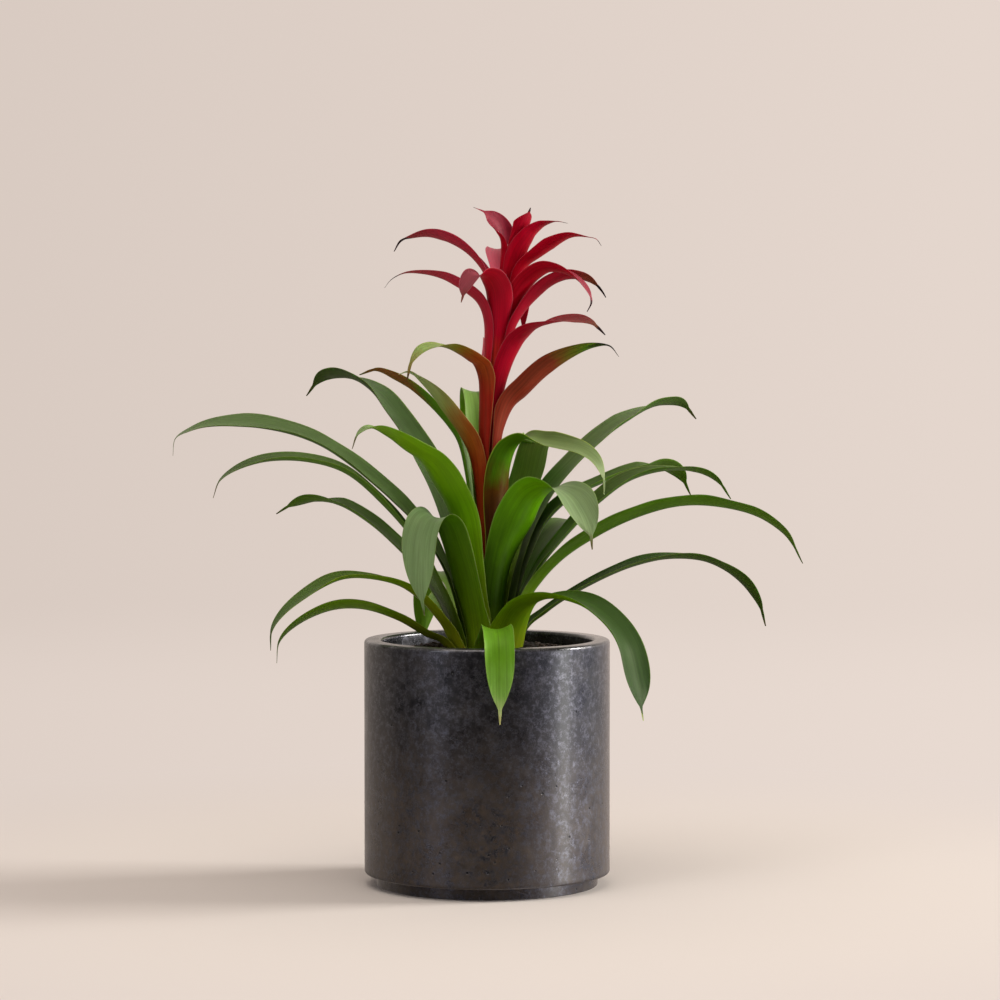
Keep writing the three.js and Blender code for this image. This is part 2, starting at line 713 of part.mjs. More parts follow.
function pottedBromeliad() {
	const plant = new THREE.Group();
	plant.add(pieceOfGroup('pot', potGeometry(), FINISHES.pot));
	plant.add(pieceOfGroup('potting_mix', mixGeometry(), FINISHES.mix));
	plant.add(pieceOfGroup('stem', stemGeometry(), FINISHES.stem));
	for (const leaf of LEAVES) {
		plant.add(leafMesh(leaf));
	}
	for (const bract of BRACTS) {
		plant.add(bractMesh(bract));
	}
	return plant;
}

export default pottedBromeliad();
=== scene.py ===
"""A potted bromeliad for a plain studio: strap leaves, a head of red bracts, potting mix and a cast pot.

The plant stands on the origin, +Z up, in metres. Headings are degrees round it: 0 is right, 90 is the
back and 270 is the front. Sizes of the object are written in millimetres and turned to metres when a mesh
is made.
"""

from __future__ import annotations

import logging
import math
from collections.abc import Mapping, Sequence
from dataclasses import dataclass, field
from enum import Enum

import bpy
import numpy as np
from bpy.types import ColorRamp, Material, Node, NodeSocket, NodeTree, Object
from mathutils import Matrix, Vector

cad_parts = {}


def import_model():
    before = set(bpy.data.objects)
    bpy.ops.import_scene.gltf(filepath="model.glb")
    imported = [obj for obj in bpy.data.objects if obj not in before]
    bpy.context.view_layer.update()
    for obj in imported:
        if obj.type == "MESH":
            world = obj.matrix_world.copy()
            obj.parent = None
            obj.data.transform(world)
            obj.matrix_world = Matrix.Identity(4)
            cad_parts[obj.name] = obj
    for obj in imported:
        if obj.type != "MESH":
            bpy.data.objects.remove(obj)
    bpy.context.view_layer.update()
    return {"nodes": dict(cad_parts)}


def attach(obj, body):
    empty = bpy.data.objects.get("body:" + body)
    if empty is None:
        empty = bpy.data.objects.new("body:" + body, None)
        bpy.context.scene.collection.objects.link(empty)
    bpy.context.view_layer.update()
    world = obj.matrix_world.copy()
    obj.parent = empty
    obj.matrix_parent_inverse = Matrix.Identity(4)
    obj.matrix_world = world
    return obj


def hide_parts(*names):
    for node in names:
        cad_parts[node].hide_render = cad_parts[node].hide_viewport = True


LOG = logging.getLogger("bromeliad")
METRES_PER_MM = 0.001
MM_PER_METRE = 1000
ROOT_BODY = "root"

# The two ends of what a Map Range node reads, and of what it gives, and its smooth kind of step.
FROM = ("From Min", "From Max")
TO = ("To Min", "To Max")
SMOOTH = "SMOOTHSTEP"
# A Mix node has a pair of inputs for each kind of value, all with the same names. These are its colours.
UNDER, OVER = 6, 7


class Slot(Enum):
    """The material slots of the part's record."""

    POT = "pot"
    POTTING_MIX = "potting_mix"
    STEM = "stem"
    LEAF = "leaf"
    BRACT = "bract"


def linear_colour(hex_colour: str) -> tuple[float, float, float, float]:
    """Turns an sRGB hex colour into linear light.

    Args:
        hex_colour: a colour such as "#4a8a10".

    Returns:
        Red, green, blue and a full alpha.
    """
    channels = [int(hex_colour[place : place + 2], 16) / 255 for place in (1, 3, 5)]
    light = [c / 12.92 if c <= 0.04045 else ((c + 0.055) / 1.055) ** 2.4 for c in channels]
    return light[0], light[1], light[2], 1.0


def set_stops(ramp: ColorRamp, stops: Sequence[tuple[float, str]]) -> None:
    """Gives a colour ramp its stops.

    Args:
        ramp: the colour ramp.
        stops: a place from 0 to 1 and a hex colour for each stop, in order.
    """
    while len(ramp.elements) < len(stops):
        ramp.elements.new(1.0)
    for element, (place, hex_colour) in zip(ramp.elements, stops):
        element.position = place
        element.color = linear_colour(hex_colour)


def add_node(
    tree: NodeTree,
    kind: str,
    inputs: Mapping[str | int | tuple[str, ...], object] | None = None,
    **settings: object,
) -> Node:
    """Adds a node with its settings, values and links.

    Args:
        tree: the node tree that gets the node.
        kind: the node's type, such as "ShaderNodeTexNoise".
        inputs: a value for each input by name or number, or several for a tuple of names. A node or one
            of its outputs is linked instead, and a node stands for its first live output.
        **settings: the node's own options by name, and the stops of a colour ramp.

    Returns:
        The new node.
    """
    node = tree.nodes.new(kind)
    for name, value in settings.items():
        if name == "stops":
            set_stops(node.color_ramp, value)
        else:
            setattr(node, name, value)
    values: dict[str | int, object] = {}
    for name, value in (inputs or {}).items():
        values.update(zip(name, value) if isinstance(name, tuple) else {name: value})
    for name, value in values.items():
        if isinstance(value, Node):
            value = next(output for output in value.outputs if output.enabled)
        if isinstance(value, NodeSocket):
            tree.links.new(value, node.inputs[name])
        else:
            node.inputs[name].default_value = value
    return node


def new_material(name: str) -> tuple[Material, NodeTree]:
    """Makes an empty node material.

    Args:
        name: the material's name.

    Returns:
        The material and its node tree.
    """
    material = bpy.data.materials.new(name)
    material.use_nodes = True
    material.node_tree.nodes.clear()
    return material, material.node_tree


def mesh_object(
    name: str,
    points_mm: np.ndarray,
    faces: Sequence[Sequence[int]],
    material: Material,
) -> Object:
    """Makes a smooth mesh object from points in millimetres.

    Args:
        name: the object's name.
        points_mm: x, y and z of each point, in the last axis.
        faces: the point numbers of each face.
        material: the object's only material.

    Returns:
        The object, in the scene.
    """
    mesh = bpy.data.meshes.new(name)
    points = (points_mm.reshape(-1, 3) * METRES_PER_MM).tolist()
    mesh.from_pydata(points, [], [list(face) for face in faces])
    mesh.polygons.foreach_set("use_smooth", np.ones(len(mesh.polygons), dtype=bool))
    mesh.materials.append(material)
    mesh.validate()
    mesh.update()
    piece = bpy.data.objects.new(name, mesh)
    bpy.context.scene.collection.objects.link(piece)
    return piece


def smooth_step(value: np.ndarray, low: float, high: float) -> np.ndarray:
    """Rises smoothly from 0 at low to 1 at high.

    Args:
        value: the numbers to read.
        low: where the rise starts.
        high: where it ends.

    Returns:
        A number from 0 to 1 for each value.
    """
    share = np.clip((value - low) / (high - low), 0.0, 1.0)
    return share * share * (3 - 2 * share)


def ripple(place: np.ndarray, wavelength: float, rng: np.random.Generator, waves: int = 3) -> np.ndarray:
    """An uneven wave from a few sines of nearby lengths.

    Args:
        place: where along the wave each number is read.
        wavelength: the middle wavelength, in the units of place.
        rng: gives the phases and the spread of lengths.
        waves: how many sines are summed.

    Returns:
        Heights between about -1 and 1.
    """
    total = np.zeros_like(place, dtype=float)
    for _ in range(waves):
        length = wavelength * rng.uniform(0.7, 1.5)
        total += np.sin(place / length * 2 * math.pi + rng.uniform(0, 2 * math.pi))
    return total / waves


def stitch_grid(rows: int, columns: int, closed: bool) -> list[tuple[int, ...]]:
    """Numbers the quads of a grid of points.

    Args:
        rows: how many rows of points.
        columns: how many points in a row.
        closed: whether the last column joins the first.

    Returns:
        The four point numbers of each quad.
    """
    faces: list[tuple[int, ...]] = []
    for row in range(rows - 1):
        for column in range(columns if closed else columns - 1):
            beside = (column + 1) % columns
            low, high = row * columns, (row + 1) * columns
            faces.append((low + column, low + beside, high + beside, high + column))
    return faces


@dataclass(frozen=True)
class Streaks:
    """A pattern drawn out along a blade: the size of its marks, and how finely and sharply they break up."""

    width_mm: float
    length_mm: float
    detail: float
    sharpness: float

    def add(self, tree: NodeTree, spread: NodeSocket) -> Node:
        """Adds the pattern to a material.

        Args:
            tree: the material's node tree.
            spread: a point's place on the spread-out blade, in millimetres.

        Returns:
            The pattern's node.
        """
        steps = (1 / self.width_mm, 1 / self.length_mm, 1.0)
        place = add_node(tree, "ShaderNodeVectorMath", {0: spread, 1: steps}, operation="MULTIPLY")
        return add_node(
            tree,
            "ShaderNodeTexNoise",
            {"Vector": place, "Scale": 1.0, "Detail": self.detail, "Roughness": self.sharpness},
        )


@dataclass(frozen=True)
class Cuticle:
    """The living skin of a leaf or bract: waxy plant tissue, satin, with fine lengthwise veins.

    The outer face is the smooth underside, seen where a blade stands upright. The inner face is the upper
    side; its colours are painted paler and greyer, pinker on a bract, as a painted sheen of the pale light
    it reflects. Places run from 0 at the base to 1 at the tip.
    """

    label: str
    outer: tuple[tuple[float, str], ...]
    inner: tuple[tuple[float, str], ...]
    # The margin colour is painted light: a pale rim standing in for light shining through the thin edges.
    margin: str = "#9aa860"
    margin_strength: float = 0.4
    margin_start: float = 0.93
    dry_colour: str = "#5c5228"
    dry_start: float = 0.97
    dry_span: float = 0.03
    patch_colour: str = "#4a1c08"
    patch_span: tuple[float, float, float, float] | None = None
    patch_fray: float = 0.08
    outer_roughness: float = 0.34
    inner_roughness: float = 0.42
    vein_roughness: float = 0.12
    ior: float = 1.45
    specular_level: float = 0.3
    specular_tint: str = "#f0ffb0"
    # Fine veins stand about half a millimetre apart. They are drawn 1.1 mm apart, the finest that shows.
    veins: Streaks = Streaks(width_mm=1.1, length_mm=70.0, detail=3.0, sharpness=0.6)
    clouds: Streaks = Streaks(width_mm=14.0, length_mm=45.0, detail=4.0, sharpness=0.55)
    vein_depth_mm: float = 0.05
    cloud_relief: float = 0.5
    vein_contrast: float = 0.22
    cloud_contrast: float = 0.12
    pattern_levels: tuple[float, float] = (0.3, 0.7)
    cloud_levels: tuple[float, float] = (0.25, 0.75)
    wander: float = 0.06
    glow: float = 0.1
    glow_radius_mm: tuple[float, float, float] = (0.5, 1.2, 0.2)

    def material(self) -> Material:
        """Makes the skin's material.

        Returns:
            The material, with its veins, mottling, margin and dry tip.
        """
        material, tree = new_material(f"cuticle_{self.label}")
        along, across, inner = (
            add_node(tree, "ShaderNodeAttribute", attribute_name=name).outputs["Fac"]
            for name in ("along", "across", "inner")
        )
        spread = add_node(tree, "ShaderNodeAttribute", attribute_name="spread").outputs["Vector"]
        veins, clouds = self.veins.add(tree, spread), self.clouds.add(tree, spread)
        shift = add_node(
            tree,
            "ShaderNodeMapRange",
            {"Value": clouds, FROM: self.cloud_levels, TO: (-self.wander, self.wander)},
        )
        place = add_node(tree, "ShaderNodeMath", {0: along, 1: shift}, operation="ADD")
        # The inner face's colours carry a painted sheen: they are paler and greyer than the outer face's.
        faces = {
            side: add_node(tree, "ShaderNodeValToRGB", {"Fac": place}, stops=stops)
            for side, stops in ((UNDER, self.outer), (OVER, self.inner))
        }
        colour = add_node(tree, "ShaderNodeMix", {"Factor": inner, **faces}, data_type="RGBA")
        if self.patch_span is not None:
            colour = self._patched(tree, colour, place, veins)
        colour = self._mottled(tree, colour, veins, clouds)
        colour = self._edged(tree, colour, across, place)

        face_roughness = add_node(
            tree, "ShaderNodeMapRange", {"Value": inner, TO: (self.outer_roughness, self.inner_roughness)}
        )
        roughness = add_node(
            tree,
            "ShaderNodeMath",
            {0: veins, 1: self.vein_roughness, 2: face_roughness},
            operation="MULTIPLY_ADD",
        )
        relief = add_node(
            tree, "ShaderNodeMath", {0: clouds, 1: self.cloud_relief, 2: veins}, operation="MULTIPLY_ADD"
        )
        bump = add_node(
            tree, "ShaderNodeBump", {"Distance": self.vein_depth_mm * METRES_PER_MM, "Height": relief}
        )
        skin = add_node(
            tree,
            "ShaderNodeBsdfPrincipled",
            {
                "Base Color": colour,
                "Roughness": roughness,
                "IOR": self.ior,
                "Specular IOR Level": self.specular_level,
                "Specular Tint": linear_colour(self.specular_tint),
                "Subsurface Weight": self.glow,
                "Subsurface Radius": self.glow_radius_mm,
                "Subsurface Scale": METRES_PER_MM,
                "Normal": bump,
            },
            subsurface_method="RANDOM_WALK",
        )
        add_node(tree, "ShaderNodeOutputMaterial", {"Surface": skin})
        return material

    def _patched(self, tree: NodeTree, colour: Node, place: Node, veins: Node) -> Node:
        """Lays a sun-browned patch over a stretch of the blade.

        Args:
            tree: the material's node tree.
            colour: the colour under the patch.
            place: how far along the blade a point is.
            veins: the vein pattern, which frays the patch's ends.

        Returns:
            The colour with the patch.
        """
        start, full, fading, end = (stop + self.patch_fray / 2 for stop in self.patch_span)
        frayed = add_node(
            tree, "ShaderNodeMath", {0: veins, 1: self.patch_fray, 2: place}, operation="MULTIPLY_ADD"
        )
        rise, fall = (
            add_node(
                tree,
                "ShaderNodeMapRange",
                {"Value": frayed, FROM: ends, TO: shares},
                interpolation_type=SMOOTH,
            )
            for ends, shares in (((start, full), (0.0, 1.0)), ((fading, end), (1.0, 0.0)))
        )
        share = add_node(tree, "ShaderNodeMath", {0: rise, 1: fall}, operation="MULTIPLY")
        browned = linear_colour(self.patch_colour)
        return add_node(
            tree, "ShaderNodeMix", {"Factor": share, UNDER: colour, OVER: browned}, data_type="RGBA"
        )

    def _mottled(self, tree: NodeTree, colour: Node, veins: Node, clouds: Node) -> Node:
        """Lightens and darkens a colour with the veins and the clouds.

        Args:
            tree: the material's node tree.
            colour: the even colour.
            veins: the vein pattern.
            clouds: the cloud pattern.

        Returns:
            The uneven colour.
        """
        shades = [
            add_node(
                tree,
                "ShaderNodeMapRange",
                {"Value": pattern, FROM: self.pattern_levels, TO: (1 - contrast, 1 + contrast)},
            )
            for pattern, contrast in ((veins, self.vein_contrast), (clouds, self.cloud_contrast))
        ]
        value = add_node(tree, "ShaderNodeMath", dict(enumerate(shades)), operation="MULTIPLY")
        return add_node(tree, "ShaderNodeHueSaturation", {"Color": colour, "Value": value})

    def _edged(self, tree: NodeTree, colour: Node, across: NodeSocket, place: Node) -> Node:
        """Lays the pale margins, a painted glow of light through the thin edges, and the dry tip over a
        colour.

        Args:
            tree: the material's node tree.
            colour: the colour under them.
            across: how far across the blade a point is.
            place: how far along the blade it is.

        Returns:
            The colour with margins and tip.
        """
        edge = add_node(tree, "ShaderNodeMath", {0: across}, operation="ABSOLUTE")
        for reading, start, end, strength, laid in (
            (edge, self.margin_start, 1.0, self.margin_strength, self.margin),
            (place, self.dry_start, self.dry_start + self.dry_span, 1.0, self.dry_colour),
        ):
            share = add_node(
                tree,
                "ShaderNodeMapRange",
                {"Value": reading, FROM: (start, end), "To Max": strength},
                interpolation_type=SMOOTH,
            )
            mixed = {"Factor": share, UNDER: colour, OVER: linear_colour(laid)}
            colour = add_node(tree, "ShaderNodeMix", mixed, data_type="RGBA")
        return colour


@dataclass(frozen=True)
class RedCuticle(Cuticle):
    """The skin of a red bract: less waxed than a leaf's, with a rosy sheen and red light under it."""

    outer_roughness: float = 0.4
    inner_roughness: float = 0.46
    specular_tint: str = "#ff8c98"
    glow_radius_mm: tuple[float, float, float] = (1.4, 0.15, 0.2)


@dataclass(frozen=True)
class TurningCuticle(Cuticle):
    """The skin of a low bract, which turns from red at its base to green, olive or grey at its tip."""

    margin_strength: float = 0.35
    outer_roughness: float = 0.38
    inner_roughness: float = 0.44
    glow_radius_mm: tuple[float, float, float] = (1.2, 0.5, 0.2)


class Finish(Enum):
    """How a leaf or bract is coloured from its base to its tip."""

    # Its outer face is painted darker from 0.2 to 0.36 along: painted shade on the rising part of the blade.
    # Its inner face has a painted sheen.
    LEAF_BRIGHT = Cuticle(
        "leaf_bright",
        outer=(
            (0.0, "#6c8a08"), (0.2, "#365604"), (0.36, "#3a5e03"), (0.55, "#5c9604"), (0.8, "#68a008"),
            (1.0, "#6c9820"),
        ),
        inner=((0.0, "#6f8a26"), (0.45, "#5c7838"), (0.7, "#708758"), (1.0, "#788c60")),
    )
    LEAF_LIGHT = Cuticle(
        "leaf_light",
        outer=((0.0, "#8c9a14"), (0.25, "#74980c"), (0.5, "#70a60a"), (0.8, "#70a00c"), (1.0, "#7ca038")),
        inner=((0.0, "#8c9a20"), (0.3, "#749c1c"), (0.6, "#668c34"), (1.0, "#7c9a58")),
    )
    # Its inner face turns paler towards the tip: a painted sheen, the pale floor's reflection.
    LEAF_FRONT = Cuticle(
        "leaf_front",
        outer=((0.0, "#7a9010"), (0.3, "#587e06"), (0.6, "#4c7a08"), (1.0, "#4c7418")),
        inner=((0.0, "#56701e"), (0.5, "#66804a"), (0.65, "#7a9561"), (1.0, "#7e9866")),
        inner_roughness=0.36,
    )
    LEAF_MIDDLE = Cuticle(
        "leaf_middle",
        outer=((0.0, "#6c8412"), (0.3, "#4c7206"), (0.6, "#4c7806"), (1.0, "#4c6c14")),
        inner=((0.0, "#5c7420"), (0.45, "#4a6628"), (1.0, "#506636")),
    )
    LEAF_GREY = Cuticle(
        "leaf_grey",
        outer=((0.0, "#586f12"), (0.3, "#3c6008"), (0.6, "#3c640c"), (1.0, "#405c16")),
        inner=((0.0, "#5c7026"), (0.45, "#5a7640"), (1.0, "#647a4c")),
    )
    LEAF_DEEP = Cuticle(
        "leaf_deep",
        outer=((0.0, "#50640e"), (0.3, "#345206"), (0.6, "#365408"), (1.0, "#364c12")),
        inner=((0.0, "#4c6220"), (0.45, "#3e5828"), (1.0, "#435834")),
    )
    # Its outer face is reddish brown at the base, its own colour, and painted as dark as the shade deep in
    # the rosette.
    LEAF_INNERMOST = Cuticle(
        "leaf_innermost",
        outer=((0.0, "#3a1404"), (0.42, "#42180a"), (0.5, "#5a3208"), (0.58, "#4c7a06"), (1.0, "#5c8418")),
        inner=((0.0, "#5a7a24"), (0.6, "#64803a"), (0.8, "#6c8048"), (1.0, "#7c8c60")),
        margin="#b0bc48",
        margin_strength=0.7,
    )
    LEAF_BROWNED = Cuticle(
        "leaf_browned",
        outer=((0.0, "#7a9010"), (0.4, "#5c8a08"), (1.0, "#507c08")),
        inner=((0.0, "#5f7a22"), (0.45, "#4f7030"), (1.0, "#566f44")),
        patch_colour="#8a521c",
        patch_span=(0.72, 0.8, 0.93, 1.0),
    )
    LEAF_LOW = Cuticle(
        "leaf_low",
        outer=((0.0, "#9a9c14"), (0.18, "#8a9410"), (0.4, "#62860a"), (1.0, "#4c7414")),
        inner=((0.0, "#8c9420"), (0.3, "#54701e"), (1.0, "#465f30")),
        margin="#a8a850",
    )
    LEAF_DROOPING = Cuticle(
        "leaf_drooping",
        outer=((0.0, "#8a9414"), (0.2, "#6a8a08"), (0.45, "#608a04"), (0.6, "#54800c"), (1.0, "#3f6a14")),
        inner=((0.0, "#7f8c1c"), (0.3, "#4c6c1c"), (0.55, "#3c5426"), (1.0, "#34492a")),
        margin="#7c9430",
        margin_strength=0.3,
        dry_colour="#98a458",
        specular_level=0.1,
        outer_roughness=0.5,
    )
    LEAF_PALE_TIP = Cuticle(
        "leaf_pale_tip",
        outer=((0.0, "#7c9414"), (0.5, "#5c9410"), (0.9, "#5c9818"), (1.0, "#8aa850")),
        inner=((0.0, "#8c9c1c"), (0.4, "#629418"), (0.7, "#669a20"), (0.86, "#7caa48"), (1.0, "#b4c084")),
        dry_colour="#b0b070",
        dry_start=0.985,
    )
    BRACT_CRIMSON = RedCuticle(
        "bract_crimson",
        outer=((0.0, "#6c0c10"), (0.2, "#8c0416"), (0.36, "#b4001c"), (0.8, "#b00022"), (1.0, "#8a1424")),
        inner=((0.0, "#8a0c20"), (0.5, "#8a1a30"), (1.0, "#8c323e")),
        margin="#c4606c",
        margin_strength=0.3,
        dry_colour="#1c100e",
        dry_start=0.925,
    )
    BRACT_PINK = RedCuticle(
        "bract_pink",
        outer=((0.0, "#a01018"), (0.35, "#c8182f"), (0.7, "#bc3248"), (1.0, "#8c4040")),
        inner=((0.0, "#8a0c20"), (0.5, "#9c3848"), (1.0, "#98525a")),
        margin="#c87884",
        dry_colour="#160e0c",
        dry_start=0.9,
    )
    BRACT_ORANGE_BASE = RedCuticle(
        "bract_orange_base",
        outer=((0.0, "#c86420"), (0.16, "#d63428"), (0.34, "#c00828"), (0.8, "#c0142c"), (1.0, "#6a3a20")),
        inner=((0.0, "#8a0c20"), (0.6, "#98404c"), (0.9, "#904048"), (1.0, "#6c4a28")),
        margin="#cc707c",
        margin_strength=0.5,
        dry_colour="#3a2414",
    )
    BRACT_DARK_TIP = RedCuticle(
        "bract_dark_tip",
        outer=(
            (0.0, "#5c060c"), (0.25, "#8c0418"), (0.4, "#aa0422"), (0.78, "#9c142a"), (0.9, "#7a3c28"),
            (1.0, "#54401c"),
        ),
        inner=((0.0, "#740a16"), (0.5, "#8c2c38"), (0.85, "#8a4440"), (1.0, "#5c4a20")),
        margin="#c06870",
        margin_strength=0.35,
        dry_colour="#161210",
        dry_start=0.93,
        specular_level=0.18,
    )
    BRACT_BROWN = TurningCuticle(
        "bract_brown",
        outer=(
            (0.0, "#740c0c"), (0.4, "#861e18"), (0.74, "#8c3420"), (0.82, "#6c681c"), (0.9, "#567c18"),
            (1.0, "#5c7c34"),
        ),
        inner=(
            (0.0, "#7c1a18"), (0.4, "#8a3c34"), (0.72, "#84463a"), (0.82, "#66702c"), (0.92, "#5c8030"),
            (1.0, "#6a8448"),
        ),
        margin="#a08058",
        dry_colour="#141210",
        dry_start=0.905,
        vein_contrast=0.34,
        outer_roughness=0.4,
        glow_radius_mm=(1.2, 0.4, 0.2),
    )
    BRACT_OLIVE = TurningCuticle(
        "bract_olive",
        outer=(
            (0.0, "#84100e"), (0.38, "#a01c14"), (0.58, "#9c4418"), (0.68, "#7c7820"), (0.86, "#7e9440"),
            (1.0, "#8a6030"),
        ),
        inner=(
            (0.0, "#80100e"), (0.4, "#8a3c20"), (0.56, "#8a5824"), (0.66, "#809048"), (0.86, "#8ca458"),
            (1.0, "#8a6c38"),
        ),
        margin="#b0a060",
        dry_colour="#4c3418",
    )
    BRACT_GREY_TIP = TurningCuticle(
        "bract_grey_tip",
        outer=((0.0, "#8c1c12"), (0.5, "#922a10"), (0.62, "#a4561c"), (0.78, "#949a54"), (1.0, "#90a878")),
        inner=((0.0, "#8c2a12"), (0.5, "#96401a"), (0.62, "#a4662a"), (0.78, "#98a468"), (1.0, "#98ac84")),
        margin="#b4a868",
        dry_colour="#8a9468",
    )


@dataclass(frozen=True)
class Blade:
    """One leaf or bract: its path, its width and how it rolls about its own length.

    Each point of the path is the distance out from the stem, the height and, where the blade swings round
    the stem, that turn in degrees. The rolls are spread evenly from base to tip.
    """

    name: str
    heading: float
    width: float
    finish: Finish
    path: tuple[tuple[float, ...], ...]
    rolls: tuple[float, ...]
    clasp: float | None = None
    taper_start: float | None = None
    tail: float | None = None


